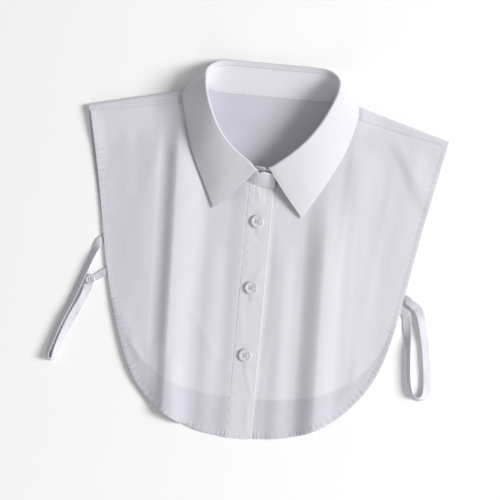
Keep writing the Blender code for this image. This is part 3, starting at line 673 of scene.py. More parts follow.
def front_lie(points: Array, laps_over: bool) -> Array:
    """The height of a front's underside, with its hanging folds.

    Args:
        points: Plan points.
        laps_over: Whether this is the right front, which lies on the left one at the centre.

    Returns:
        The height at each point.
    """
    x, y = points[:, 0], points[:, 1]
    height = back_lift(points) * LIFT_SPREAD + UNDER_FRONT
    past = np.where(inside(BACK_OUTLINE, points), 0.0, nearest_on(BACK_OUTLINE, points)[0])
    height -= UNDER_FRONT * ramp(DROP_STARTS, DROP_ENDS, past)
    for shoulder in (RIGHT_SHOULDER, LEFT_SHOULDER):
        neck, _ = shoulder.ends()
        below = (points[:, :2] - neck) @ shoulder.down()
        side = np.where(np.sign(x) == np.sign(neck[0]), ramp(*SHOULDER_RISE_X, np.abs(x)), 0.0)
        height += SHOULDER_RISE * side * (1.0 - ramp(*SHOULDER_RISE_BELOW, below))
    near = 1.0 - ramp(0.0, NECK_RISE_ENDS, nearest_on(NECKLINE, points)[0])
    height += NECK_RISE * near * (1.0 - ramp(*NECK_RISE_FADES_Y, y))
    height += sum(fold.rise(points) for fold in FOLDS)
    if laps_over:
        height += LAP_STEP * ramp(LAP_RISE_STARTS_X, BAND_LEFT_X - 1.0, x)
    return height


def front_unevenness(points: Array) -> Array:
    """The small creases and ripples of the fronts, fading where the collar bears on them.

    Args:
        points: Plan points.

    Returns:
        The height added at each point.
    """
    rise = sum(crease.rise(points) for crease in FRONT_CREASES)
    rise = rise + sum(ripple.rise(points) for ripple in RIPPLES)
    return rise * ramp(*EVEN_BY_NECK, nearest_on(NECKLINE, points)[0])


def unshaded_at(points: Array) -> Array:
    """1 where the back lies under a front, and 0 below the back's hem, where the front gets painted shade.

    Args:
        points: Plan points.

    Returns:
        The mark at each point.
    """
    distance, _ = nearest_on(BACK_OUTLINE, points)
    signed = np.where(inside(BACK_OUTLINE, points), distance, -distance)
    shown = ramp(-BACK_EDGE_BLUR, BACK_EDGE_BLUR, signed)
    return np.where(points[:, 1] > BACK_HEM_BELOW_Y, 1.0, shown)


# Shader nodes


class Signal:
    """A node's output socket, on which arithmetic adds Math nodes."""

    def __init__(self, tree: bpy.types.NodeTree, socket: bpy.types.NodeSocket) -> None:
        """Keeps the tree and the socket."""
        self.tree = tree
        self.socket = socket

    def math(self, operation: str, *others: "Signal | float", swap: bool = False) -> "Signal":
        """Adds a Math node.

        Args:
            operation: The Math node's operation.
            others: The other inputs.
            swap: Whether this signal is the second input.

        Returns:
            The node's output.
        """
        made = self.tree.nodes.new("ShaderNodeMath")
        made.operation = operation
        inputs = [*others, self] if swap else [self, *others]
        for socket, value in zip(made.inputs, inputs):
            if isinstance(value, Signal):
                self.tree.links.new(value.socket, socket)
            else:
                socket.default_value = value
        return Signal(self.tree, made.outputs[0])

    def __add__(self, other: "Signal | float") -> "Signal":
        """The sum."""
        return self.math("ADD", other)

    __radd__ = __add__

    def __mul__(self, other: "Signal | float") -> "Signal":
        """The product."""
        return self.math("MULTIPLY", other)

    __rmul__ = __mul__

    def __sub__(self, other: "Signal | float") -> "Signal":
        """The difference."""
        return self.math("SUBTRACT", other)

    def __rsub__(self, other: float) -> "Signal":
        """The difference from a number."""
        return self.math("SUBTRACT", other, swap=True)

    def sine(self) -> "Signal":
        """The sine."""
        return self.math("SINE")


class Paint:
    """One material's node tree."""

    def __init__(self, name: str) -> None:
        """Makes the material and finds its shader.

        Args:
            name: The material's name.
        """
        self.material = bpy.data.materials.new(name)
        self.material.use_nodes = True
        self.tree = self.material.node_tree
        self.shader = self.tree.nodes["Principled BSDF"]

    def node(self, kind: str, settings: dict, inputs: dict, output: str | int = 0) -> Signal:
        """Adds a node.

        Args:
            kind: The node's type.
            settings: Its settings by name.
            inputs: A value or a signal for each input socket, by its name or its number.
            output: The output wanted.

        Returns:
            That output.
        """
        made = self.tree.nodes.new(kind)
        for name, value in settings.items():
            setattr(made, name, value)
        for name, value in inputs.items():
            if isinstance(value, Signal):
                self.tree.links.new(value.socket, made.inputs[name])
            else:
                made.inputs[name].default_value = value
        return Signal(self.tree, made.outputs[output])

    def place(self, kind: str) -> Signal:
        """A Texture Coordinate output, such as Object or UV."""
        return self.node("ShaderNodeTexCoord", {}, {}, kind)

    def noise(self, at: Signal, scale: float, detail: float = 3.0) -> Signal:
        """A noise texture's value."""
        return self.node("ShaderNodeTexNoise", {}, {"Vector": at, "Scale": scale, "Detail": detail})

    def mixed(self, share: Signal, first: "tuple | Signal", second: tuple) -> Signal:
        """A colour between two, through the Mix node's colour sockets."""
        return self.node("ShaderNodeMix", {"data_type": "RGBA"}, {0: share, 6: first, 7: second}, 2)

    def mark(self, name: str) -> Signal:
        """The value of one of the mesh's marks."""
        return self.node("ShaderNodeAttribute", {"attribute_name": name}, {}, "Fac")

    def bump(self, height: Signal, depth_mm: float, strength: float, over: Signal | None = None) -> Signal:
        """Adds a Bump node.

        Args:
            height: The relief.
            depth_mm: Its depth in millimetres.
            strength: How much of it shows.
            over: The normal of the relief that it lies on, or None.

        Returns:
            The node's normal.
        """
        inputs = {"Strength": strength, "Distance": depth_mm * MM, "Height": height}
        if over is not None:
            inputs["Normal"] = over
        return self.node("ShaderNodeBump", {}, inputs)

    def set(self, **values: "float | tuple | Signal") -> None:
        """Sets the shader's sockets, with spaces written as underscores.

        Args:
            values: A value or a signal for each socket.
        """
        for name, value in values.items():
            socket = self.shader.inputs[name.replace("_", " ")]
            if isinstance(value, Signal):
                self.tree.links.new(value.socket, socket)
            else:
                socket.default_value = value


@dataclass(frozen=True)
class Poplin:
    """White cotton poplin: a fine plain weave, matt, and greyer with painted shade where it lies in one
    layer.
    """

    name: str = "poplin"
    white: tuple = (0.688, 0.680, 0.744, 1.0)
    # The painted shade colour, for the fronts below the back's hem and the back's inner layer.
    painted_shade: tuple = (0.60, 0.595, 0.665, 1.0)
    mottle: tuple = (0.655, 0.648, 0.716, 1.0)
    thread_pitch_mm: float = 0.26
    weave_mm: float = 0.035
    crumple_mm: float = 0.3
    crumple_stretch: tuple = (1.0, 0.42, 1.0)
    crumple_scale: float = 90.0
    fine_scale: float = 260.0
    fine_share: float = 0.4
    gather_mm: float = 0.8
    gather_scale: float = 380.0
    cloud_scale: float = 22.0
    cloud_share: float = 0.35
    roughness: float = 0.82

    def relief(self, paint: Paint) -> Signal:
        """Adds the weave, the soft crumple over it and the drawn puckers over both.

        Args:
            paint: The material's node tree.

        Returns:
            The cloth's normal.
        """
        cloth = paint.place("UV")
        turns = math.pi / (self.thread_pitch_mm * MM)
        warp = (paint.node("ShaderNodeSeparateXYZ", {}, {"Vector": cloth}, "X") * turns).sine()
        weft = (paint.node("ShaderNodeSeparateXYZ", {}, {"Vector": cloth}, "Y") * turns).sine()
        here = paint.place("Object")
        placed = {"Vector": here, "Scale": self.crumple_stretch}
        stretched = paint.node("ShaderNodeMapping", {"vector_type": "POINT"}, placed)
        fine = self.fine_share * paint.noise(here, self.fine_scale, 2.0)
        crumple = paint.noise(stretched, self.crumple_scale, 2.0) + fine
        run = {"W": paint.mark("along"), "Scale": self.gather_scale, "Detail": 2.0}
        streaks = paint.node("ShaderNodeTexNoise", {"noise_dimensions": "1D"}, run)
        weave = paint.bump(warp * weft, self.weave_mm, 0.6)
        soft = paint.bump(crumple, self.crumple_mm, 0.5, weave)
        return paint.bump((streaks - 0.5) * paint.mark("pucker"), self.gather_mm, 1.0, soft)

    def make(self) -> bpy.types.Material:
        """Makes the material.

        Returns:
            The material.
        """
        paint = Paint(self.name)
        # Painted shade: the colour goes to the painted shade colour where the doubled mark falls to 0.
        base = paint.mixed(paint.mark("doubled"), self.painted_shade, self.white)
        cloud = paint.noise(paint.place("Object"), self.cloud_scale, 2.0)
        paint.set(
            Base_Color=paint.mixed(cloud * self.cloud_share, base, self.mottle),
            Roughness=self.roughness,
            Sheen_Weight=0.08,
            Sheen_Roughness=0.5,
            Specular_IOR_Level=0.2,
            Normal=self.relief(paint),
        )
        return paint.material


# The pieces' copies of the poplin differ in tint as painted light from the surroundings: the left front,
# the leaf and the band are a little less blue, and the stand is painted whiter, as painted light on its
# face in shade
LEFT_POPLIN = Poplin("left_poplin", white=(0.706, 0.701, 0.748, 1.0), mottle=(0.675, 0.670, 0.723, 1.0))
WARM_POPLIN = Poplin("warm_poplin", white=(0.692, 0.687, 0.733, 1.0), mottle=(0.66, 0.655, 0.708, 1.0))
BAND_POPLIN = Poplin("band_poplin", white=(0.712, 0.708, 0.744, 1.0), mottle=(0.684, 0.68, 0.716, 1.0))
LIT_STAND_POPLIN = Poplin("lit_stand_poplin", white=(0.75, 0.745, 0.80, 1.0), mottle=(0.72, 0.715, 0.775, 1.0))


@dataclass(frozen=True)
class SewingThread:
    """White sewing thread: twisted, with a faint lustre and painted shade between its plies."""

    name: str = "sewing_thread"
    colour: tuple = (0.72, 0.715, 0.765, 1.0)
    painted_ply_shade: tuple = (0.63, 0.625, 0.69, 1.0)
    twist_scale: float = 3500.0
    twist_mm: float = 0.06
    roughness: float = 0.5

    def make(self) -> bpy.types.Material:
        """Makes the material.

        Returns:
            The material.
        """
        paint = Paint(self.name)
        twist = paint.noise(paint.place("Object"), self.twist_scale, 1.0)
        # Painted shade between the plies: the noise darkens the thread towards the painted ply shade
        # colour.
        shade = paint.mixed(twist, self.colour, self.painted_ply_shade)
        paint.set(Base_Color=shade, Roughness=self.roughness, Normal=paint.bump(twist, self.twist_mm, 0.4))
        return paint.material


@dataclass(frozen=True)
class Pearl:
    """Pearly button plastic: milky and smooth, with slow clouds of grey and white."""

    name: str = "pearl_button"
    light: tuple = (0.74, 0.735, 0.765, 1.0)
    dark: tuple = (0.60, 0.60, 0.645, 1.0)
    cloud_scale: float = 170.0
    cloud_range: tuple = (0.38, 0.66)
    glow_depth_mm: float = 1.5
    roughness: float = 0.3

    def make(self) -> bpy.types.Material:
        """Makes the material.

        Returns:
            The material.
        """
        paint = Paint(self.name)
        here = paint.place("Object")
        swirl = {"Vector": here, "Scale": self.cloud_scale, "Detail": 3.0, "Distortion": 1.4}
        clouds = paint.node("ShaderNodeTexNoise", {}, swirl)
        low, high = self.cloud_range
        share = paint.node("ShaderNodeMapRange", {}, {"Value": clouds, "From Min": low, "From Max": high})
        paint.set(
            Base_Color=paint.mixed(share, self.dark, self.light),
            Roughness=share * 0.12 + self.roughness,
            Coat_Weight=0.2,
            Coat_Roughness=0.15,
            Subsurface_Weight=0.2,
            Subsurface_Scale=self.glow_depth_mm * MM,
            IOR=1.52,
        )
        return paint.material


@dataclass(frozen=True)
class PaleFloor:
    """A plain white floor."""

    name: str = "pale_floor"
    colour: tuple = (0.975, 0.975, 0.975, 1.0)
    lighter: tuple = (0.985, 0.985, 0.985, 1.0)

    def make(self) -> bpy.types.Material:
        """Makes the material.

        Returns:
            The material.
        """
        paint = Paint(self.name)
        grain = paint.noise(paint.place("Object"), 12.0, 2.0)
        paint.set(Base_Color=paint.mixed(grain, self.colour, self.lighter), Roughness=0.9)
        return paint.material


@dataclass
class Finishes:
    """The materials that the pieces share."""

    poplin: bpy.types.Material = field(default_factory=lambda: Poplin().make())
    left_poplin: bpy.types.Material = field(default_factory=lambda: LEFT_POPLIN.make())
    warm_poplin: bpy.types.Material = field(default_factory=lambda: WARM_POPLIN.make())
    band_poplin: bpy.types.Material = field(default_factory=lambda: BAND_POPLIN.make())
    lit_stand_poplin: bpy.types.Material = field(default_factory=lambda: LIT_STAND_POPLIN.make())
    thread: bpy.types.Material = field(default_factory=lambda: SewingThread().make())
    pearl: bpy.types.Material = field(default_factory=lambda: Pearl().make())


# Making meshes


def deselect() -> None:
    """Leaves nothing selected or active."""
    bpy.ops.object.select_all(action="DESELECT")
    bpy.context.view_layer.objects.active = None


def linked(name: str, data: bpy.types.ID) -> bpy.types.Object:
    """Makes an object of a mesh, a light or a camera and links it to the scene.

    Args:
        name: The object's name.
        data: What it holds.

    Returns:
        The object.
    """
    made = bpy.data.objects.new(name, data)
    bpy.context.scene.collection.objects.link(made)
    return made


def apply_modifiers(piece: bpy.types.Object) -> None:
    """Applies every modifier of a piece.

    Args:
        piece: The piece.
    """
    deselect()
    piece.select_set(True)
    bpy.context.view_layer.objects.active = piece
    for modifier in list(piece.modifiers):
        bpy.ops.object.modifier_apply(modifier=modifier.name)
    deselect()


def finish_piece(
    piece: bpy.types.Object, material: bpy.types.Material, nodes: tuple = ()
) -> None:
    """Gives a piece its material and its body, and hides the CAD parts that it stands for.

    Args:
        piece: The piece.
        material: Its material.
        nodes: The CAD nodes that it stands for.
    """
    piece.data.materials.clear()
    piece.data.materials.append(material)
    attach(piece, BODY)
    if nodes:
        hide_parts(*nodes)
    log.info("%s: %d faces", piece.name, len(piece.data.polygons))


@dataclass
class ClothSheet:
    """A sheet of cloth through a grid of points in millimetres, rows by columns by axes."""

    name: str
    grid: Array
    thickness: float
    offset: float = -1.0
    keep: Array | None = None
    # The doubled mark: 1 keeps the plain colour, 0 gives the painted shade colour.
    doubled: Array | None = None
    pucker: Array | None = None
    along: Array | None = None
    rounding: float = 0.22
    sharp_degrees: float = 62.0

    def build(self) -> bpy.types.Object:
        """Makes the sheet's mesh, with cloth coordinates and a wall.

        Returns:
            The sheet's object.
        """
        rows, columns = self.grid.shape[:2]
        index = np.arange(rows * columns).reshape(rows, columns)
        corners = [index[:-1, :-1], index[:-1, 1:], index[1:, 1:], index[1:, :-1]]
        faces = np.stack(corners, 2).reshape(-1, 4)
        keep = np.ones(rows * columns, bool) if self.keep is None else self.keep.ravel()
        faces = faces[keep[faces].all(1)]
        renumber = np.cumsum(keep) - 1
        mesh = bpy.data.meshes.new(self.name)
        points = self.grid.reshape(-1, 3)[keep] * MM
        mesh.from_pydata(points.tolist(), [], renumber[faces].tolist())
        self.coordinates(mesh, keep)
        piece = linked(self.name, mesh)
        mesh.shade_smooth()
        wall = piece.modifiers.new("wall", "SOLIDIFY")
        wall.thickness = self.thickness * MM
        wall.offset = self.offset
        if self.rounding:
            soft = piece.modifiers.new("soft edge", "BEVEL")
            soft.width = self.rounding * MM
            soft.segments = 2
            soft.limit_method = "ANGLE"
            soft.angle_limit = math.radians(self.sharp_degrees)
        apply_modifiers(piece)
        return piece

    def coordinates(self, mesh: bpy.types.Mesh, keep: Array) -> None:
        """Writes the cloth's own coordinates in metres, and its marks.

        Args:
            mesh: The sheet's mesh.
            keep: The grid points that the mesh has.
        """
        across = np.linalg.norm(np.diff(self.grid, axis=1), axis=2)
        along = np.linalg.norm(np.diff(self.grid, axis=0), axis=2)
        u = np.concatenate([np.zeros((len(self.grid), 1)), across.cumsum(1)], 1)
        v = np.concatenate([np.zeros((1, self.grid.shape[1])), along.cumsum(0)])
        u -= u[:, u.shape[1] // 2][:, None]
        cloth = np.stack([u, v], 2).reshape(-1, 2)[keep] * MM
        loops = np.empty(len(mesh.loops), int)
        mesh.loops.foreach_get("vertex_index", loops)
        layer = mesh.uv_layers.new(name="cloth")
        layer.data.foreach_set("uv", cloth[loops].ravel())
        # The doubled mark picks the painted shade in the poplin.
        marks = {"doubled": (self.doubled, 1.0), "pucker": (self.pucker, 0.0), "along": (self.along, 0.0)}
        for name, (given, plain) in marks.items():
            values = np.full(len(keep), plain) if given is None else given.ravel()
            mark = mesh.attributes.new(name, "FLOAT", "POINT")
            mark.data.foreach_set("value", values[keep])


def either_way(
    first: Array, first_along: Array, second: Array, second_along: Array
) -> tuple[Array, Array]:
    """Joins two fields of fine puckers that run in different directions.

    Args:
        first: How much the first field shows.
        first_along: The length along the first field's seam, in millimetres.
        second: How much the second field shows.
        second_along: The length along the second field's seam, in millimetres.

    Returns:
        How much the puckers show, nothing where the direction changes, and the length in metres.
    """
    clear = ramp(0.02, 0.3, np.abs(first - second))
    along = np.where(first > second, first_along, second_along)
    return np.maximum(first, second) * clear, along * MM


def sheet_area(grid: Array, keep: Array | None = None) -> float:
    """The area of a grid of points in millimetres, in square metres.

    Args:
        grid: Points by row, column and axis.
        keep: The points that the sheet has, or None for all.

    Returns:
        The area.
    """
    a = grid[1:, 1:] - grid[:-1, :-1]
    b = grid[1:, :-1] - grid[:-1, 1:]
    area = np.linalg.norm(np.cross(a, b), axis=2) / 2.0
    if keep is not None:
        area = area[keep[1:, 1:] & keep[:-1, :-1] & keep[1:, :-1] & keep[:-1, 1:]]
    return float(area.sum()) * MM * MM


@dataclass
class StitchLine:
    """A run of lockstitches along a path, each one a small rounded spindle."""

    name: str
    length: float = 2.1
    gap: float = 0.7
    width: float = 0.34
    height: float = 0.26
    probe: float = 0.3
    paths: list = field(default_factory=list)

    def follow(self, points: Array, normals: Array) -> None:
        """Adds a path.

        Args:
            points: Points on the cloth's surface, in millimetres.
            normals: The surface's normals there.
        """
        along = lengths_along(points)
        count = int(along[-1] / (self.length + self.gap))
        if count < 1:
            return
        centres = (np.arange(count) + 0.5) * (along[-1] / count)
        at = read_along(points, along, centres)
        ahead = read_along(points, along, centres + self.probe)
        behind = read_along(points, along, centres - self.probe)
        up = read_along(normals, along, centres)
        run = ahead - behind
        run /= np.maximum(np.linalg.norm(run, axis=1), 1e-9)[:, None]
        side = np.cross(up, run)
        side /= np.maximum(np.linalg.norm(side, axis=1), 1e-9)[:, None]
        self.paths.append((at, run, side, np.cross(run, side)))

    def build(self, finishes: Finishes) -> bpy.types.Object:
        """Models one stitch and copies it along every path.

        Args:
            finishes: The shared materials.

        Returns:
            The stitches as one piece.
        """
        deselect()
        bpy.ops.mesh.primitive_uv_sphere_add(segments=6, ring_count=4, radius=0.5)
        seed = bpy.context.object
        shape = np.array([v.co for v in seed.data.vertices])[:, [2, 0, 1]]
        faces = [tuple(p.vertices) for p in seed.data.polygons]
        bpy.data.objects.remove(seed)
        shape = shape * (self.length, self.width, self.height)
        points, polygons = [], []
        for at, run, side, up in self.paths:
            for k in range(len(at)):
                start = len(points) * len(shape)
                stitch = at[k] + shape @ np.stack([run[k], side[k], up[k]])
                stitch[:, 2] = np.maximum(stitch[:, 2], 0.0)
                points.append(stitch)
                polygons.extend(tuple(i + start for i in face) for face in faces)
        mesh = bpy.data.meshes.new(self.name)
        mesh.from_pydata((np.concatenate(points) * MM).tolist(), [], polygons)
        mesh.shade_smooth()
        piece = linked(self.name, mesh)
        finish_piece(piece, finishes.thread)
        return piece


def tube(name: str, path: Array, radius: float, sides: int = 8) -> bpy.types.Object:
    """A closed round tube along a path.

    Args:
        name: The object's name.
        path: The path's points, in millimetres.
        radius: The tube's radius, in millimetres.
        sides: How many sides it has.

    Returns:
        The tube's object.
    """
    run = headings(path)
    side = np.cross(run, [0.31, 0.17, 0.93])
    side /= np.linalg.norm(side, axis=1)[:, None]
    up = np.cross(side, run)
    angles = np.arange(sides) * math.tau / sides
    rings = path[:, None] + radius * (
        np.cos(angles)[None, :, None] * side[:, None] + np.sin(angles)[None, :, None] * up[:, None]
    )
    faces = []
    for i in range(len(path) - 1):
        for k in range(sides):
            j = (k + 1) % sides
            faces.append((i * sides + k, i * sides + j, (i + 1) * sides + j, (i + 1) * sides + k))
    faces.append(tuple(range(sides))[::-1])
    faces.append(tuple(range((len(path) - 1) * sides, len(path) * sides)))
    mesh = bpy.data.meshes.new(name)
    mesh.from_pydata((rings.reshape(-1, 3) * MM).tolist(), [], faces)
    mesh.shade_smooth()
    return linked(name, mesh)


def joined(name: str, parts: list) -> bpy.types.Object:
    """Joins objects into one and names it.

    Args:
        name: The new name.
        parts: The objects.

    Returns:
        The joined object.
    """
    deselect()
    for part in parts:
        part.select_set(True)
    bpy.context.view_layer.objects.active = parts[0]
    bpy.ops.object.join()
    whole = bpy.context.view_layer.objects.active
    whole.name = name
    whole.data.name = name
    deselect()
    return whole


# The bib


@dataclass
class Front:
    """One front of the bib, from its centre edge to the armhole and from hem to shoulder."""

    side: Side
    neck_columns: int = 46
    shoulder_columns: int = 84
    rows: int = 205
    thickness: float = 0.8
    neck_gap: float = 0.4
    under_band: float = 1.6
    tuck: float = 0.75
    tuck_width: float = 1.3
    seam_dip: float = 0.3
    seam_dip_width: float = 0.9
    lifted: float = 1.5
    lifted_y: float = 98.0
    lifted_reach: float = 26.0
    lifted_in: float = 14.0
    band_gather: Gather = Gather(0.7, 3.2)
    spare_width: float = 6.0
    spare_length: float = 2.0

    @property
    def word(self) -> str:
        """The side's name."""
        return self.side.name.lower()

    @property
    def laps_over(self) -> bool:
        """Whether this front lies on the other."""
        return self.side is Side.RIGHT

    @property
    def shoulder(self) -> Shoulder:
        """This side's shoulder."""
        return RIGHT_SHOULDER if self.laps_over else LEFT_SHOULDER

    @property
    def centre_x(self) -> float:
        """Where the centre edge lies."""
        return BAND_LEFT_X + self.under_band if self.laps_over else LAP_UNDER_X

    def free_edge(self) -> Array:
        """The armhole and hem edge, from the shoulder down to the centre."""
        return smooth_line(RIGHT_FRONT_EDGE if self.laps_over else LEFT_FRONT_EDGE)

    def neckline(self) -> Array:
        """The neckline, from the centre edge to the shoulder seam.

        Returns:
            Its plan points.
        """
        if self.laps_over:
            line = moved_out(seam_line(1, SHOULDER_STATIONS[0] - 1), self.neck_gap)
        else:
            line = moved_out(seam_line(SHOULDER_STATIONS[1] + 1, len(NECK) - 1), self.neck_gap)[::-1]
        corner = self.shoulder.seam([0.0])[0]
        beside = (line[:, 0] - self.centre_x) * self.side.value > 0.0
        line = line[beside & (line[:, 1] < corner[1] - NECK_END_ROOM)]
        return np.concatenate([[[self.centre_x, line[0, 1]]], line[1:], corner[None]])

    def plan(self) -> Array:
        """The front's grid of plan points, with columns running to +X.

        Returns:
            Points by row, column and axis.
        """
        neck = resample(self.neckline(), np.linspace(0.0, 1.0, self.neck_columns))
        outward = 1.0 - (1.0 - np.linspace(0.0, 1.0, self.shoulder_columns)) ** 1.25
        top = np.concatenate([neck, self.shoulder.seam(outward)[1:]])
        armhole, hem = split_at(self.free_edge(), HEM_CORNER_SHARE)
        low_y = HEM_Y if self.laps_over else HEM_Y + 1.4
        hem = np.concatenate([[[self.centre_x, low_y]], hem[::-1]])
        u = lengths_along(top) / lengths_along(top)[-1]
        v = np.linspace(0.0, 1.0, self.rows) ** 1.15
        bottom = resample(hem, u)
        centre = bottom[0] + (top[0] - bottom[0]) * v[:, None]
        side = resample(armhole[::-1], v)
        top[-1] = side[-1]
        plan = relaxed(coons(bottom, top, centre, side, u, v))
        return plan[:, ::-1] if self.laps_over else plan

    def top_height(self, points: Array) -> Array:
        """The height of the upper surface.

        Args:
            points: Plan points.

        Returns:
            The height at each point.
        """
        distance, along = nearest_on(self.free_edge(), points)
        seam = self.shoulder.seam(np.linspace(0.0, 1.0, 12))
        by_seam = nearest_on(seam, points)[0]
        height = front_lie(points, self.laps_over) + WALL + front_unevenness(points)
        height += HEM.rise(distance, along) - self.seam_dip * bell(by_seam, self.seam_dip_width)
        if self.laps_over:
            height -= self.tuck * ramp(BAND_LEFT_X, BAND_LEFT_X + self.tuck_width, points[:, 0])
            by_tip = bell(points[:, 1] - self.lifted_y, self.lifted_reach)
            height += self.lifted * by_tip * (1.0 - ramp(0.0, self.lifted_in, distance))
        return np.maximum(height, self.thickness)

    def gathers(self, points: Array) -> tuple[Array, Array]:
        """Where the fine puckers of the hem and the band's seam show, and the length along them.

        Args:
            points: Plan points.

        Returns:
            How much they show, and the length in metres.
        """
        distance, along = nearest_on(self.free_edge(), points)
        weight = HEM.gathered(distance, along)
        seam = self.band_gather.at(points[:, 0] - BAND_LEFT_X) * self.laps_over
        return either_way(seam, points[:, 1], weight, along)

    def grid(self) -> Array:
        """The upper surface's grid.

        Returns:
            Points by row, column and axis.
        """
        plan = self.plan()
        flat = plan.reshape(-1, 2)
        return np.column_stack([flat, self.top_height(flat)]).reshape(*plan.shape[:2], 3)

    def build(self, finishes: Finishes) -> bpy.types.Object:
        """Makes the front.

        Args:
            finishes: The shared materials.

        Returns:
            The front's object.
        """
        grid = self.grid()
        flat = grid.reshape(-1, 3)[:, :2]
        pucker, along = self.gathers(flat)
        # Below the back's hem the front gets painted shade, through the doubled mark.
        sheet = ClothSheet(f"{self.word}_front_cloth", grid, self.thickness, doubled=unshaded_at(flat))
        sheet.pucker, sheet.along = pucker, along
        piece = sheet.build()
        # The left front takes the less blue copy of the poplin, painted light from the surroundings.
        finish = finishes.poplin if self.laps_over else finishes.left_poplin
        finish_piece(piece, finish, (f"{self.word}_front",))
        area = sheet_area(grid)
        return piece

    def sew(self, stitches: StitchLine) -> None:
        """Sews the hem and the shoulder seam.

        Args:
            stitches: The stitches to add to.
        """
        inset = HEM.width - HEM.groove_inset
        edge = moved_out(self.free_edge(), inset * -self.side.value)[4:-3]
        self.sew_over(stitches, edge)
        seam = self.shoulder.seam(np.linspace(0.06, 0.975, 60)) - self.shoulder.down() * 1.7
        flat = front_lie(seam, False) + WALL + 0.3
        up = np.tile([0.0, 0.0, 1.0], (len(seam), 1))
        stitches.follow(np.column_stack([seam, flat]), up)

    def sew_over(self, stitches: StitchLine, plan: Array) -> None:
        """Sews along a plan line on the front.

        Args:
            stitches: The stitches to add to.
            plan: The line's plan points.
        """
        line = resample(plan, np.linspace(0.0, 1.0, 500))
        step = 0.4
        height = self.top_height(line)
        dx = (self.top_height(line + [step, 0.0]) - height) / step
        dy = (self.top_height(line + [0.0, step]) - height) / step
        up = np.column_stack([-dx, -dy, np.ones(len(line))])
        up /= np.linalg.norm(up, axis=1)[:, None]
        stitches.follow(np.column_stack([line, height]) + 0.04 * up, up)


@dataclass
class FrontBand:
    """The folded band down the right front's edge, with its buttonholes."""

    columns: int = 44
    rows: int = 380
    thickness: float = 0.8
    edge_round: float = 1.1
    stitch_inset: float = 1.9
    above_front: float = 0.16
    pull_height: float = 0.15
    pull_width: float = 2.6
    groove: float = 0.08
    groove_width: float = 0.8
    hem_thicker: float = 0.2
    hem_turn: tuple = (3.8, 4.8)
    sewn_edge_drop: float = 0.1
    folded_edge_drop: float = 0.35
    seam_inset: float = 0.5
    seam_gather: Gather = Gather(0.75, 3.4)
    fold_gather: Gather = Gather(0.3, 3.0)
    hem_gather: Gather = Gather(0.8, 5.0)
    neck_gather: Gather = Gather(0.9, 6.0)

    def top_y(self, x: Array) -> Array:
        """Where the band meets the collar.

        Args:
            x: Places across the band.

        Returns:
            The band's upper end at each place.
        """
        line = moved_out(seam_line(0, 3), 0.4)
        order = line[:, 0].argsort()
        return np.interp(x, line[order, 0], line[order, 1])

    def top_height(self, points: Array) -> Array:
        """The height of the band's upper surface.

        Args:
            points: Plan points.

        Returns:
            The height at each point.
        """
        x, y = points[:, 0], points[:, 1]
        edge = np.minimum(x - BAND_LEFT_X, BAND_RIGHT_X - x)
        height = front_lie(points, True) + WALL + self.above_front
        height += sum(crease.rise(points) for crease in BAND_CREASES)
        height += 0.55 * RIPPLES[0].rise(points) * ramp(-0.5, 6.0, edge)
        pull = np.sin(y / 1.9 + 1.6 * np.sin(y / 21.0)) * (0.6 + 0.4 * np.sin(y / 34.0 + 1.0))
        by_seam = np.abs(x - BAND_LEFT_X - self.stitch_inset)
        height += self.pull_height * pull * bell(by_seam, self.pull_width)
        height -= self.groove * bell(by_seam, self.groove_width)
        by_fold = np.abs(BAND_RIGHT_X - self.stitch_inset - x)
        height -= self.groove * bell(by_fold, self.groove_width)
        height += self.hem_thicker * (1.0 - ramp(*self.hem_turn, y - HEM_Y))
        rounding = np.where(x < 0.0, self.sewn_edge_drop, self.folded_edge_drop)
        return height - rounding * (1.0 - ramp(0.0, self.edge_round, edge)) ** 2

    def gathers(self, points: Array) -> tuple[Array, Array]:
        """Where the fine puckers of the band's seams and hem show, and the length along them.

        Args:
            points: Plan points.

        Returns:
            How much they show, and the length in metres.
        """
        x, y = points[:, 0], points[:, 1]
        seam = self.seam_gather.at(x - BAND_LEFT_X - self.seam_inset)
        fold = self.fold_gather.at(x - BAND_RIGHT_X)
        hem = self.hem_gather.at(y - HEM_Y)
        neck = self.neck_gather.at(y - self.top_y(x))
        return either_way(np.maximum(hem, neck), x, np.maximum(seam, fold), y)

    def build(self, finishes: Finishes) -> bpy.types.Object:
        """Makes the band.

        Args:
            finishes: The shared materials.

        Returns:
            The band's object.
        """
        x = np.linspace(BAND_LEFT_X, BAND_RIGHT_X, self.columns)
        rows = np.linspace(0.0, 1.0, self.rows)[:, None]
        y = HEM_Y - 0.2 + (self.top_y(x) - HEM_Y + 0.2) * rows
        flat = np.stack([np.broadcast_to(x, y.shape), y], 2).reshape(-1, 2)
        grid = np.column_stack([flat, self.top_height(flat)]).reshape(*y.shape, 3)
        pucker, along = self.gathers(flat)
        sheet = ClothSheet("front_band_cloth", grid, self.thickness)
        sheet.pucker, sheet.along = pucker, along
        piece = sheet.build()
        # The band takes the less blue copy of the poplin, painted light from the surroundings.
        finish_piece(piece, finishes.band_poplin, ("front_band",))
        return piece

    def sew(self, stitches: StitchLine) -> None:
        """Sews both edges of the band.

        Args:
            stitches: The stitches to add to.
        """
        for x in (BAND_LEFT_X + self.stitch_inset, BAND_RIGHT_X - self.stitch_inset):
            y = np.linspace(HEM_Y + 3.0, float(self.top_y(np.array([x]))[0]) - 2.0, 600)
            plan = np.column_stack([np.full(len(y), x), y])
            height = self.top_height(plan) + 0.05
            up = np.tile([0.0, 0.0, 1.0], (len(y), 1))
            stitches.follow(np.column_stack([plan, height]), up)


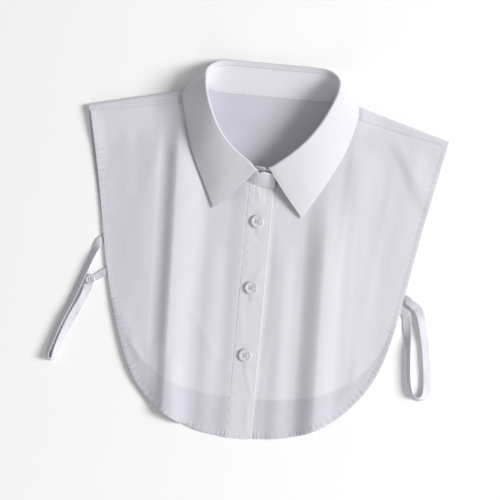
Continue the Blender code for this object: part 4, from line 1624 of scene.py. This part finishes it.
@dataclass
class Back:
    """The back, which folds over each shoulder to meet the fronts below it."""

    shoulder_columns: int = 56
    neck_columns: int = 54
    rows: int = 110
    bend_rows: int = 14
    return_rows: int = 10
    thickness: float = 0.8
    neck_gap: float = 0.02
    seam_gap: float = 0.02
    seam_dip: float = 0.35
    seam_dip_width: float = 0.8
    shoulder_dip: float = 0.3
    shoulder_dip_width: float = 0.8
    pucker: float = 0.12
    pucker_reach: float = 5.0
    turned_in: float = 0.22
    turned_in_fades: tuple = (2.0, 3.2)
    cut_metres: tuple = (0.3625, 0.322)

    def plan(self) -> Array:
        """The lower layer's grid of plan points.

        Returns:
            Points by row, column and axis.
        """
        shares = np.linspace(0.0, 1.0, self.shoulder_columns)
        right_top = RIGHT_SHOULDER.fold(shares)[::-1] + RIGHT_SHOULDER.down() * SHOULDER_BEND
        left_top = LEFT_SHOULDER.fold(shares) + LEFT_SHOULDER.down() * SHOULDER_BEND
        line = moved_out(seam_line(*SHOULDER_STATIONS), -self.neck_gap)
        neck = resample(line, np.linspace(0.0, 1.0, self.neck_columns + 2))[1:-1]
        top = np.concatenate([right_top, neck, left_top])
        right_armhole, right_hem = split_at(smooth_line(BACK_RIGHT_EDGE), HEM_CORNER_SHARE)
        left_armhole, left_hem = split_at(smooth_line(BACK_LEFT_EDGE), HEM_CORNER_SHARE)
        u = np.linspace(0.0, 1.0, len(top))
        v = 1.0 - (1.0 - np.linspace(0.0, 1.0, self.rows)) ** 1.2
        bottom = resample(np.concatenate([right_hem, left_hem[::-1][1:]]), u)
        start = resample(right_armhole[::-1], v)
        end = resample(left_armhole[::-1], v)
        top[0], top[-1] = start[-1], end[-1]
        return coons(bottom, top, start, end, u, v)

    def turn(self, shoulder: Shoulder, share: float, low_z: float) -> Array:
        """One column of the turn over a shoulder, from below the fold to the seam.

        Args:
            shoulder: The shoulder.
            share: How far the column is from the neck to the tip.
            low_z: The height that the turn starts from.

        Returns:
            The column's points on the outer surface.
        """
        fold = shoulder.fold([share])[0]
        down = shoulder.down()
        inner = fold + down * SHOULDER_BEND
        top_z = front_lie(inner[None], False)[0] + WALL
        middle, half = (top_z + low_z) / 2.0, (top_z - low_z) / 2.0
        points = []
        for i in range(1, self.bend_rows + 1):
            angle = math.pi * i / self.bend_rows - math.pi / 2.0
            plan = fold + down * SHOULDER_BEND * (1.0 - math.cos(angle))
            points.append([*plan, middle + half * math.sin(angle)])
        depth = float(shoulder.depth(share)) - self.seam_gap
        for i in range(1, self.return_rows + 1):
            across = SHOULDER_BEND + (depth - SHOULDER_BEND) * i / self.return_rows
            plan = fold + down * across
            left = depth - across
            wave = math.sin(share * 95.0 + 1.2 * math.sin(share * 23.0))
            rise = self.pucker * wave * bell(left, self.pucker_reach)
            rise += self.turned_in * float(1.0 - ramp(*self.turned_in_fades, left))
            rise -= self.shoulder_dip * bell(left, self.shoulder_dip_width)
            rise += sum(float(crease.rise(plan[None])[0]) for crease in SHOULDER_CREASES)
            points.append([*plan, front_lie(plan[None], False)[0] + WALL + rise])
        return np.array(points)

    def build(self, finishes: Finishes) -> bpy.types.Object:
        """Makes the back.

        Args:
            finishes: The shared materials.

        Returns:
            The back's object.
        """
        plan = self.plan()
        flat = plan.reshape(-1, 2)
        by_stand = nearest_on(seam_line(*SHOULDER_STATIONS), flat)[0]
        height = back_lift(flat) - self.seam_dip * bell(by_stand, self.seam_dip_width)
        lower = np.column_stack([flat, height]).reshape(*plan.shape[:2], 3)
        columns = plan.shape[1]
        over = np.zeros((self.bend_rows + self.return_rows, columns, 3))
        keep = np.zeros((self.rows + len(over), columns), bool)
        keep[: self.rows] = True
        for k, share in enumerate(np.linspace(0.0, 1.0, self.shoulder_columns)):
            right, left = self.shoulder_columns - 1 - k, columns - self.shoulder_columns + k
            over[:, right] = self.turn(RIGHT_SHOULDER, float(share), lower[-1, right, 2])
            over[:, left] = self.turn(LEFT_SHOULDER, float(share), lower[-1, left, 2])
            keep[self.rows :, [right, left]] = True
        grid = np.concatenate([lower, over])
        # The back's inner layer, seen inside the neck, gets painted shade; the turn over each shoulder
        # keeps the plain colour.
        unshaded_share = np.ones(keep.shape)
        unshaded_share[: self.rows] = 0.0
        sheet = ClothSheet("back_cloth", grid, self.thickness, offset=1.0, keep=keep, doubled=unshaded_share)
        piece = sheet.build()
        finish_piece(piece, finishes.poplin, ("back_panel",))
        area = sheet_area(grid, keep)
        return piece


# The collar


@dataclass
class Collar:
    """The stand and the leaf that folds over it."""

    rows: int = 520
    stand_columns: int = 26
    roll_columns: int = 12
    leaf_columns: int = 46
    thickness: float = 1.0
    edge_seam: float = 1.4
    edge_groove: float = 0.1
    edge_groove_width: float = 0.7
    edge_gather: Gather = Gather(0.4, 4.0)
    stand_gather: Gather = Gather(0.5, 4.0)
    end_gather: Gather = Gather(0.5, 14.0)
    stand_seam: float = 1.6
    leaf_flare: float = 1.22

    def lines(self) -> tuple[Array, Array, Array, Array]:
        """The collar's rows round the neck.

        Returns:
            Each row's place in stations, its seam, its fold and the leaf's edge.
        """
        seams, folds, edges = [], [], []
        for i, station in enumerate(NECK):
            plan = np.array([[station.seam_x, station.seam_y]])
            seams.append([*plan[0], self.seam_height(i, plan)])
            folds.append([station.fold_x, station.fold_y, station.fold_z])
            if i in LEAF_STATIONS:
                edges.append([station.edge_x, station.edge_y, self.edge_height(i, station)])
        edges = [edges[0], *edges, edges[-1]]
        knots = np.arange(len(NECK), dtype=float)
        at = np.linspace(0.0, len(NECK) - 1.0, self.rows)
        return at, *(natural_cubic(knots, np.array(line, float), at) for line in (seams, folds, edges))

    def seam_height(self, i: int, plan: Array) -> float:
        """Where the stand's lower edge lies at a station.

        Args:
            i: The station's number.
            plan: The seam's plan point there, as one row.

        Returns:
            The height there.
        """
        right, left = SHOULDER_STATIONS
        if right <= i <= left:
            bend = SHOULDER_RISE / 2.0 if i in SHOULDER_STATIONS else 0.0
            return float(back_lift(plan)[0]) + WALL / 2.0 + bend
        return float(front_lie(plan, i < right)[0]) + SEAM_ABOVE_UNDERSIDE

    def edge_height(self, i: int, station: NeckStation) -> float:
        """Where the leaf's edge lies at a station.

        Args:
            i: The station's number.
            station: The station.

        Returns:
            The height there.
        """
        right, left = SHOULDER_STATIONS
        if i < right or i > left:
            plan = np.array([[station.edge_x, station.edge_y]])
            return float(front_lie(plan, i < right)[0]) + WALL + LEAF_ABOVE_FRONT
        if i in SHOULDER_STATIONS:
            return LEAF_AT_SHOULDER_Z
        return LEAF_BY_SHOULDER_Z if i in (right + 1, left - 1) else LEAF_UNDER_BACK_Z

    def leaf_section(self, seam: Array, fold: Array, edge: Array, sag: float) -> list:
        """One section of the leaf: up from the stand, over the fold and down to its edge.

        Args:
            seam: The stand's lower edge.
            fold: The fold at the top.
            edge: The leaf's edge.
            sag: How far the leaf hangs slack below a straight line to its edge.

        Returns:
            The section's points.
        """
        rise = unit(fold - seam)
        down = unit(edge - fold)
        out = unit(down - rise * (down @ rise))
        start = seam + (fold - seam) * STAND_SHARE + rise * 0.1
        turn = math.pi - math.atan2(down @ out, -(down @ rise))
        centre = fold - rise * LEAF_ROLL_RADIUS + out * LEAF_ROLL_RADIUS
        points = [start, start + (fold - start) * 0.5 - rise * LEAF_ROLL_RADIUS * 0.5]
        for i in range(self.roll_columns + 1):
            angle = turn * i / self.roll_columns
            points.append(centre + LEAF_ROLL_RADIUS * (rise * math.sin(angle) - out * math.cos(angle)))
        last = points[-1]
        normal = unit(rise * math.sin(turn) - out * math.cos(turn))
        bulge = LEAF_BULGE * min(1.0, (last[2] - edge[2]) / FULL_BULGE_DROP) - sag
        for i in range(1, self.leaf_columns + 1):
            t = i / self.leaf_columns
            points.append(last + (edge - last) * t + normal * bulge * math.sin(math.pi * t))
        return points

    def leaf_grid(self) -> Array:
        """The leaf's grid of points through the middle of its cloth.

        Returns:
            Points by row, column and axis.
        """
        at, seams, folds, edges = self.lines()
        low, high = LEAF_STATIONS[0], LEAF_STATIONS[-1]
        rows = [i for i, a in enumerate(at) if low <= a <= high]
        sags = LEAF_FRONT_SAG * (1.0 - ramp(0.0, SAG_STATIONS, np.minimum(at - low, high - at)))
        return np.array([self.leaf_section(seams[i], folds[i], edges[i], sags[i]) for i in rows])

    def edge_distances(self, grid: Array) -> tuple[Array, Array, Array]:
        """How far each point of the leaf is from its outer and front edges, along the cloth.

        Args:
            grid: Points by row, column and axis.

        Returns:
            The lengths to the outer edge, to the first front edge and to the last.
        """
        across = np.linalg.norm(np.diff(grid, axis=1), axis=2)
        outer = np.concatenate([across[:, ::-1].cumsum(1)[:, ::-1], np.zeros((len(grid), 1))], 1)
        along = np.linalg.norm(np.diff(grid, axis=0), axis=2)
        first = np.concatenate([np.zeros((1, grid.shape[1])), along.cumsum(0)])
        last = first[-1] - first
        return outer, first, last

    def leaf(self, finishes: Finishes) -> bpy.types.Object:
        """Makes the leaf. Its edges are turned in and pressed.

        Args:
            finishes: The shared materials.

        Returns:
            The leaf's object.
        """
        grid = self.leaf_grid()
        outer, first, last = self.edge_distances(grid)
        nearest = np.minimum(outer, np.minimum(first, last))
        swell = 0.3 * np.sin(first / 38.0 + 0.8) * np.sin(outer / 16.0) * ramp(2.0, 16.0, nearest)
        groove = self.edge_groove * bell(nearest - self.edge_seam, self.edge_groove_width)
        normals = -grid_normals(grid)
        if normals[len(grid) // 4, grid.shape[1] * 3 // 4, 2] < 0:
            normals = -normals
        beyond_roll = np.arange(grid.shape[1]) > self.roll_columns + 4
        grid = grid + normals * ((swell - groove) * beyond_roll)[..., None]
        sheet = ClothSheet("collar_leaf_cloth", grid, self.thickness, 0.0, rounding=0.35)
        by_outer = self.edge_gather.at(outer) * beyond_roll
        by_front = self.edge_gather.at(np.minimum(first, last)) * beyond_roll
        sheet.pucker, sheet.along = either_way(by_outer, first, by_front, outer)
        piece = sheet.build()
        # The leaf takes the less blue copy of the poplin, painted light from the surroundings.
        finish_piece(piece, finishes.warm_poplin, ("collar_leaf",))
        area = sheet_area(grid)
        return piece

    def stand(self, finishes: Finishes, stitches: StitchLine) -> bpy.types.Object:
        """Makes the stand and sews it.

        Args:
            finishes: The shared materials.
            stitches: The stitches to add to.

        Returns:
            The stand's object.
        """
        at, seams, folds, _ = self.lines()
        past_leaf = np.maximum(LEAF_STATIONS[0] - at, at - LEAF_STATIONS[-1])
        reach = STAND_SHARE + (1.0 - STAND_SHARE) * ramp(0.0, BARE_END_STATIONS, past_leaf)
        shares = np.linspace(0.0, 1.0, self.stand_columns)[None, :] * reach[:, None]
        grid = seams[:, None] + (folds - seams)[:, None] * shares[..., None]
        normals = grid_normals(grid)
        round_neck = lengths_along(grid[:, 0])
        height = np.linalg.norm(grid - grid[:, :1], axis=2)
        pull = 0.08 * np.sin(round_neck / 1.3)[:, None] * bell(height, 3.5)
        swell = 0.22 * np.sin(round_neck / 17.0)[:, None] * np.sin(height / 9.0)
        grid = grid + normals * (pull + swell)[..., None]
        sheet = ClothSheet("collar_stand_cloth", grid, self.thickness + 0.1, 0.0, rounding=0.3)
        ends = np.minimum(round_neck, round_neck[-1] - round_neck)[:, None]
        sheet.pucker = self.stand_gather.at(height) + self.end_gather.at(ends)
        sheet.along = np.broadcast_to(round_neck[:, None], height.shape) * MM
        piece = sheet.build()
        # The stand takes the whiter copy of the poplin, painted light on its face in shade.
        finish_piece(piece, finishes.lit_stand_poplin, ("collar_stand",))
        area = sheet_area(grid)
        rows = np.arange(len(grid))
        column = (height > self.stand_seam).argmax(1)
        for way in (-1.0, 1.0):
            outward = normals[rows, column] * way
            line = grid[rows, column] + outward * (self.thickness / 2.0 + 0.08)
            stitches.follow(line, outward)
        return piece


# Buttons and buttonholes


@dataclass(frozen=True)
class ButtonPlace:
    """Where a button sits, and how it is turned."""

    node: str
    x: float
    y: float
    radius: float
    low_z: float
    turn: float = 0.0
    flipped: bool = False


@dataclass
class ShirtButton:
    """A four-hole button with a turned rim and a sunk middle, sewn on with doubled thread."""

    place: ButtonPlace
    height: float = 2.2
    rim: float = 0.34
    steps: int = 64
    hole_radius: float = 0.7
    hole_spacing: float = 1.2
    thread_radius: float = 0.27

    def rings(self) -> list:
        """The rings' radii and heights, from the back up over the rim to the sunk middle.

        Returns:
            A radius and a height for each ring, in millimetres.
        """
        r, top = self.place.radius, self.height
        floor = top - self.rim
        return [
            (r * 0.62, 0.0), (r * 0.80, top * 0.08), (r * 0.92, top * 0.22), (r * 0.985, top * 0.42),
            (r, top - 0.85), (r * 0.99, top - 0.5), (r * 0.955, top - 0.18), (r * 0.90, top - 0.03),
            (r * 0.83, top), (r * 0.76, top - 0.02), (r * 0.70, top - 0.16), (r * 0.64, floor + 0.07),
            (r * 0.56, floor), (r * 0.30, floor - 0.04),
        ]

    def turned(self) -> bpy.types.Object:
        """The button without holes, a disc drawn up ring by ring.

        Returns:
            The button's object.
        """
        (radius, height), *rings = self.rings()
        deselect()
        bpy.ops.mesh.primitive_circle_add(vertices=self.steps, radius=radius * MM, fill_type="NGON")
        piece = bpy.context.object
        piece.name = piece.data.name = f"{self.place.node}_pearl"
        bpy.ops.object.mode_set(mode="EDIT")
        bpy.ops.mesh.select_all(action="SELECT")
        for wider, higher in rings:
            rise = (0.0, 0.0, (higher - height) * MM)
            bpy.ops.mesh.extrude_region_move(TRANSFORM_OT_translate={"value": rise})
            share = wider / radius
            bpy.ops.transform.resize(value=(share, share, 1.0), center_override=(0.0, 0.0, 0.0))
            radius, height = wider, higher
        bpy.ops.mesh.select_all(action="SELECT")
        bpy.ops.mesh.normals_make_consistent(inside=False)
        bpy.ops.object.mode_set(mode="OBJECT")
        return piece

    def holes(self) -> list:
        """The holes' places about the button's middle."""
        s = self.hole_spacing
        return [(-s, -s), (s, -s), (-s, s), (s, s)]

    def drill(self, piece: bpy.types.Object) -> None:
        """Cuts the thread holes.

        Args:
            piece: The button.
        """
        for x, y in self.holes():
            deselect()
            bpy.ops.mesh.primitive_cylinder_add(
                vertices=20, radius=self.hole_radius * MM, depth=6.0 * MM, location=(x * MM, y * MM, 0.0)
            )
            cutter = bpy.context.object
            cut = piece.modifiers.new("hole", "BOOLEAN")
            cut.object = cutter
            cut.operation = "DIFFERENCE"
            apply_modifiers(piece)
            bpy.data.objects.remove(cutter)

    def threads(self) -> list:
        """Doubled threads between the holes, up through one and down the next.

        Returns:
            One object for each strand.
        """
        parts = []
        floor = self.height - self.rim
        for x in (-self.hole_spacing, self.hole_spacing):
            for k, spread in enumerate((-0.24, 0.0, 0.24)):
                t = np.linspace(0.0, math.pi, 15)
                y = -np.cos(t) * (self.hole_spacing + 0.12)
                z = floor - 1.3 + np.sin(t) ** 0.45 * (1.62 + 0.08 * k)
                path = np.column_stack([np.full(len(t), x + spread), y, z])
                parts.append(tube(f"strand_{k}", path, self.thread_radius))
        return parts

    def set_down(self, piece: bpy.types.Object) -> None:
        """Moves a piece's mesh from the middle to the button's place.

        Args:
            piece: The piece.
        """
        place = self.place
        move = Matrix.Translation((place.x * MM, place.y * MM, place.low_z * MM))
        if place.flipped:
            over = Matrix.Translation((0.0, 0.0, self.height * MM)) @ Matrix.Rotation(math.pi, 4, "X")
            move = move @ over
        piece.data.transform(move @ Matrix.Rotation(place.turn, 4, "Z"))

    def build(self, finishes: Finishes) -> None:
        """Makes the button and its threads.

        Args:
            finishes: The shared materials.
        """
        piece = self.turned()
        self.drill(piece)
        deselect()
        piece.select_set(True)
        bpy.context.view_layer.objects.active = piece
        bpy.ops.object.shade_smooth_by_angle(angle=math.radians(35.0))
        self.set_down(piece)
        finish_piece(piece, finishes.pearl, (self.place.node,))
        threads = joined(f"{self.place.node}_threads", self.threads())
        self.set_down(threads)
        for vertex in threads.data.vertices:
            vertex.co.z = max(vertex.co.z, 0.0)
        finish_piece(threads, finishes.thread)


@dataclass
class Buttonhole:
    """An upright buttonhole: close satin stitches down both sides and a bar at each end."""

    x: float
    high_y: float
    low_y: float
    gap: float = 0.35
    bite: float = 1.15
    pitch: float = 0.42

    def sew(self, band: FrontBand, stitches: StitchLine) -> None:
        """Sews the buttonhole on the band.

        Args:
            band: The band that it is cut in.
            stitches: The stitches to add to.
        """
        places = []
        for y in np.arange(self.low_y, self.high_y, self.pitch):
            for way in (-1.0, 1.0):
                near, far = self.x + way * self.gap, self.x + way * (self.gap + self.bite)
                places.append(((near, y), (far, y)))
        for end in (self.low_y - 0.4, self.high_y + 0.2):
            for k in range(4):
                x = self.x - 1.2 + 0.8 * k
                places.append(((x, end - 0.7), (x, end + 0.7)))
        for a, b in places:
            plan = np.array([a, b])
            height = band.top_height(plan) + 0.1
            stitches.follow(np.column_stack([plan, height]), np.tile([0.0, 0.0, 1.0], (2, 1)))


# Straps and tabs


@dataclass(frozen=True)
class StrapRow:
    """A place along a strap: how far it is held off the floor, and its band's slope."""

    x: float
    y: float
    raised: float
    slope: float


STRAP_WIDTH = 8.6
TAB_WIDTH = 7.0
NARROWEST_SHEET = 10.0
RIGHT_STRAP = [
    StrapRow(-154.2, -2.0, 0.0, 0.0), StrapRow(-157.6, -5.4, 0.0, -12.0),
    StrapRow(-160.6, -12.6, 0.0, -38.0), StrapRow(-164.2, -22.5, 0.0, -50.0),
    StrapRow(-169.2, -36.0, 0.0, -46.0), StrapRow(-173.9, -49.0, 0.0, -50.0),
    StrapRow(-179.6, -65.0, 0.0, -46.0), StrapRow(-186.4, -82.0, 0.0, -60.0),
    StrapRow(-192.6, -99.0, 0.0, -60.0), StrapRow(-196.6, -113.0, 0.0, -62.0),
    StrapRow(-198.6, -120.6, 0.0, -70.0), StrapRow(-197.4, -126.2, 0.0, -76.0),
    StrapRow(-193.2, -125.4, 0.0, -72.0), StrapRow(-190.6, -116.4, 0.0, -58.0),
    StrapRow(-186.0, -103.0, 0.0, -44.0), StrapRow(-180.4, -89.0, 0.0, -30.0),
    StrapRow(-173.8, -74.0, 0.2, -26.0), StrapRow(-167.6, -60.0, 1.0, -34.0),
    StrapRow(-165.0, -51.6, 1.4, -12.0), StrapRow(-163.4, -44.0, 1.4, 0.0),
    StrapRow(-162.4, -38.4, 1.4, 0.0),
]
LEFT_STRAP = [
    StrapRow(146.9, -45.6, 0.0, 0.0), StrapRow(151.6, -47.4, 0.0, -4.0),
    StrapRow(155.0, -53.6, 0.0, -12.0), StrapRow(156.6, -63.0, 0.0, -20.0),
    StrapRow(158.2, -76.0, 0.0, -46.0), StrapRow(160.2, -90.0, 0.0, -66.0),
    StrapRow(161.4, -104.0, 0.0, -70.0), StrapRow(163.4, -118.0, 0.0, -72.0),
    StrapRow(167.4, -128.6, 0.0, -74.0), StrapRow(173.4, -133.0, 0.0, -66.0),
    StrapRow(179.6, -129.6, 0.0, -44.0), StrapRow(181.4, -119.4, 0.0, -26.0),
    StrapRow(180.2, -106.0, 0.0, -22.0), StrapRow(178.0, -91.0, 0.0, -26.0),
    StrapRow(175.4, -76.0, 0.2, -24.0), StrapRow(172.0, -63.0, 1.0, -26.0),
    StrapRow(169.0, -51.0, 2.0, -14.0), StrapRow(165.0, -43.6, 2.6, 0.0),
    StrapRow(158.6, -39.0, 2.6, 0.0),
]
ROOT_STATIONS = 2.2
RIGHT_ROOT = (-0.22, 0.975)
LEFT_ROOT = (-0.22, -0.975)
RIGHT_TAB = [
    (-147.2, -34.6, 1.9), (-150.4, -35.8, 1.3), (-157.0, -40.4, 0.6), (-162.0, -43.0, 0.55),
    (-166.4, -45.2, 0.55),
]
LEFT_TAB = [
    (151.2, -34.0, 1.9), (153.6, -34.8, 3.0), (157.6, -38.2, 4.4), (161.4, -41.0, 4.5),
    (164.8, -43.2, 4.5),
]


@dataclass
class Ribbon:
    """A narrow folded band of the same poplin, such as a strap or a tab."""

    node: str
    centre: Array
    across: Array
    width: float
    thickness: float = 0.85
    columns: int = 15
    crumple: float = 0.5
    seed: int = 1
    stitch_share: float = 0.36
    cut_room: float = 1.04

    def build(self, finishes: Finishes, stitches: StitchLine, rests_on: str) -> bpy.types.Object:
        """Makes the band and sews its edges.

        Args:
            finishes: The shared materials.
            stitches: The stitches to add to.
            rests_on: What it lies on; not used.

        Returns:
            The band's object.
        """
        shares = np.linspace(-0.5, 0.5, self.columns)
        grid = self.centre[:, None] + self.across[:, None] * (self.width * shares)[None, :, None]
        normals = grid_normals(grid)
        length = lengths_along(self.centre)
        rng = np.random.default_rng(self.seed)
        a, b, c = rng.uniform(0.0, math.tau, 3)
        wave = np.sin(length / 4.3 + a + 1.2 * np.sin(length / 11.0))
        wave *= 0.5 + 0.5 * np.sin(length / 17.0 + b)
        twist = np.sin(length / 6.7 + c)
        rise = self.crumple * (wave[:, None] * np.cos(math.pi * shares) + 0.7 * twist[:, None] * shares)
        tight = np.sin(length / 0.9 + 1.5 * np.sin(length / 8.0))[:, None]
        pull = 0.1 * tight * (np.abs(shares) * 2.0) ** 3
        end = np.clip(np.minimum(length, length[-1] - length) / 6.0, 0.15, 1.0)[:, None]
        grid = grid + normals * ((rise + pull) * end)[..., None]
        low = grid[..., 2].min(1)
        lift = np.maximum(0.0, self.thickness / 2.0 - low)
        grid[..., 2] += lift[:, None]
        sheet = ClothSheet(f"{self.node}_cloth", grid, self.thickness, 0.0, rounding=0.25)
        sheet.pucker = np.broadcast_to(0.5 + 0.5 * (np.abs(shares) * 2.0) ** 2, grid.shape[:2])
        sheet.along = np.broadcast_to(length[:, None], grid.shape[:2]) * MM
        piece = sheet.build()
        finish_piece(piece, finishes.poplin, (self.node,))
        flat = (max(NARROWEST_SHEET, self.width) * MM, float(length[-1]) * MM * self.cut_room)
        area = min(sheet_area(grid), flat[0] * flat[1])
        for share in (-self.stitch_share, self.stitch_share):
            column = round((share + 0.5) * (self.columns - 1))
            for way in (-1.0, 1.0):
                up = normals[:, column] * way
                line = grid[:, column] + up * (self.thickness / 2.0 + 0.03)
                stitches.follow(line[2:-2], up[2:-2])
        return piece


def strap(node: str, rows: list, root: tuple, seed: int) -> Ribbon:
    """A side strap, which lies in a loop and leans inwards.

    Args:
        node: The CAD node that it stands for.
        rows: Its places.
        root: The direction of its sewn end.
        seed: The seed of its crumples.

    Returns:
        The strap's band.
    """
    table = np.array([(r.x, r.y, r.raised, r.slope) for r in rows], float)
    at = np.linspace(0.0, len(rows) - 1.0, 300)
    x, y, raised, slope = natural_cubic(np.arange(len(rows), dtype=float), table, at).T
    slope = np.radians(np.clip(slope, -90.0, 0.0))
    lean = -STRAP_WIDTH / 2.0 * np.sin(slope) + WALL / 2.0 * np.cos(slope)
    centre = np.column_stack([x, y, lean + np.clip(raised, 0.0, None) + 0.05])
    run = headings(centre[:, :2])
    outward = np.column_stack([run[:, 1], -run[:, 0]])
    outward += (np.array(root) - outward) * (1.0 - ramp(0.0, ROOT_STATIONS, at))[:, None]
    outward /= np.linalg.norm(outward, axis=1)[:, None]
    across = np.column_stack([outward * np.cos(slope)[:, None], np.sin(slope)])
    return Ribbon(node, centre, across, STRAP_WIDTH, seed=seed)


def tab(node: str, rows: list, seed: int) -> Ribbon:
    """A short tab from a front's armhole edge.

    Args:
        node: The CAD node that it stands for.
        rows: Its places.
        seed: The seed of its crumples.

    Returns:
        The tab's band.
    """
    at = np.linspace(0.0, len(rows) - 1.0, 40)
    centre = natural_cubic(np.arange(len(rows), dtype=float), np.array(rows, float), at)
    run = headings(centre[:, :2])
    across = np.column_stack([run[:, 1], -run[:, 0], np.zeros(len(run))])
    return Ribbon(node, centre, across, TAB_WIDTH, crumple=0.12, seed=seed)


# The floor, the light and the camera


@dataclass
class Studio:
    """A plain pale floor, soft light from the picture's right and a camera straight above.

    Its sizes and places are in metres, apart from the camera's sensor.
    """

    camera_height: float = 2.0
    frame_width: float = 0.5
    look_at: tuple = (-0.007, 0.0)
    roll_degrees: float = 5.3
    sensor_mm: float = 36.0
    key_place: tuple = (3.62, 0.38, 2.65)
    key_size: float = 1.75
    key_watts: float = 203.0
    fill_place: tuple = (-0.25, -2.3, 1.15)
    fill_size: float = 1.2
    fill_watts: float = 9.0
    sky: float = 0.355
    floor_size: float = 8.0
    floor_z: float = -0.00008

    def floor(self) -> None:
        """Lays the floor."""
        deselect()
        bpy.ops.mesh.primitive_plane_add(size=self.floor_size, location=(0.0, 0.0, self.floor_z))
        floor = bpy.context.object
        floor.name = "floor"
        floor.data.materials.append(PaleFloor().make())
        deselect()

    def lamp(self, name: str, place: tuple, size: float, watts: float) -> None:
        """Hangs a square soft light that faces the collar.

        Args:
            name: The light's name.
            place: Where it hangs, in metres.
            size: Its side, in metres.
            watts: Its power.
        """
        data = bpy.data.lights.new(name, "AREA")
        data.size = size
        data.energy = watts
        lamp = linked(name, data)
        lamp.location = place
        lamp.rotation_euler = (-Vector(place)).to_track_quat("-Z", "Y").to_euler()

    def build(self) -> None:
        """Makes the floor, the lights and the camera."""
        self.floor()
        self.lamp("key", self.key_place, self.key_size, self.key_watts)
        self.lamp("fill", self.fill_place, self.fill_size, self.fill_watts)
        world = bpy.data.worlds.new("soft_room")
        world.use_nodes = True
        background = world.node_tree.nodes["Background"]
        background.inputs[0].default_value = (1.0, 1.0, 1.0, 1.0)
        background.inputs[1].default_value = self.sky
        bpy.context.scene.world = world
        bpy.context.scene.view_settings.view_transform = "Standard"
        data = bpy.data.cameras.new("camera")
        data.sensor_width = self.sensor_mm
        data.lens = self.sensor_mm * self.camera_height / self.frame_width
        data.clip_end = 50.0
        camera = linked("camera", data)
        camera.location = (*self.look_at, self.camera_height)
        camera.rotation_euler = (0.0, 0.0, math.radians(self.roll_degrees))
        bpy.context.scene.camera = camera


# The buttons' places


@dataclass(frozen=True)
class FrontButton:
    """A front button's node, its place on the band and how it is turned."""

    node: str
    x: float
    y: float
    turn: float


FRONT_BUTTONS = [
    FrontButton("button_top", -2.4, 29.0, 0.06),
    FrontButton("button_middle", -2.4, -37.5, -0.14),
    FrontButton("button_bottom", -2.2, -105.0, 0.1),
]
BUTTON_RADIUS = 6.5
BUTTON_LIFT = 1.3
HOLE_BESIDE = 0.4
HOLE_ABOVE = 4.0
HOLE_BELOW = 12.5
STRAP_BUTTONS = [
    ButtonPlace("strap_button_right", -163.0, -43.8, 4.7, 3.1, 0.4),
    ButtonPlace("strap_button_left", 161.2, -41.2, 4.7, 0.02, 0.2, True),
]


def main() -> None:
    """Builds and dresses every piece in order."""
    logging.basicConfig(level=logging.INFO, format="%(message)s")
    Studio().build()
    finishes = Finishes()
    bib_stitches = StitchLine("bib_stitches")
    collar_stitches = StitchLine("collar_stitches")
    strap_stitches = StitchLine("strap_stitches", length=1.8, gap=0.6, width=0.28)
    satin = StitchLine("buttonhole_stitches", length=1.15, gap=0.0, width=0.36, height=0.3)
    Back().build(finishes)
    for side in Side:
        front = Front(side)
        front.build(finishes)
        front.sew(bib_stitches)
    band = FrontBand()
    band.build(finishes)
    band.sew(bib_stitches)
    collar = Collar()
    collar.stand(finishes, collar_stitches)
    collar.leaf(finishes)
    for button in FRONT_BUTTONS:
        x, y = button.x, button.y
        low_z = float(front_lie(np.array([[x, y]]), True)[0]) + BUTTON_LIFT
        ShirtButton(ButtonPlace(button.node, x, y, BUTTON_RADIUS, low_z, button.turn)).build(finishes)
        Buttonhole(x + HOLE_BESIDE, y + HOLE_ABOVE, y - HOLE_BELOW).sew(band, satin)
    for place in STRAP_BUTTONS:
        ShirtButton(place).build(finishes)
    strap("right_strap", RIGHT_STRAP, RIGHT_ROOT, 4).build(finishes, strap_stitches, "floor")
    strap("left_strap", LEFT_STRAP, LEFT_ROOT, 9).build(finishes, strap_stitches, "floor")
    tab("right_tab", RIGHT_TAB, 2).build(finishes, strap_stitches, "floor")
    tab("left_tab", LEFT_TAB, 6).build(finishes, strap_stitches, "left_strap")
    for line in (bib_stitches, collar_stitches, strap_stitches, satin):
        line.build(finishes)


if __name__ == "__main__":
    main()
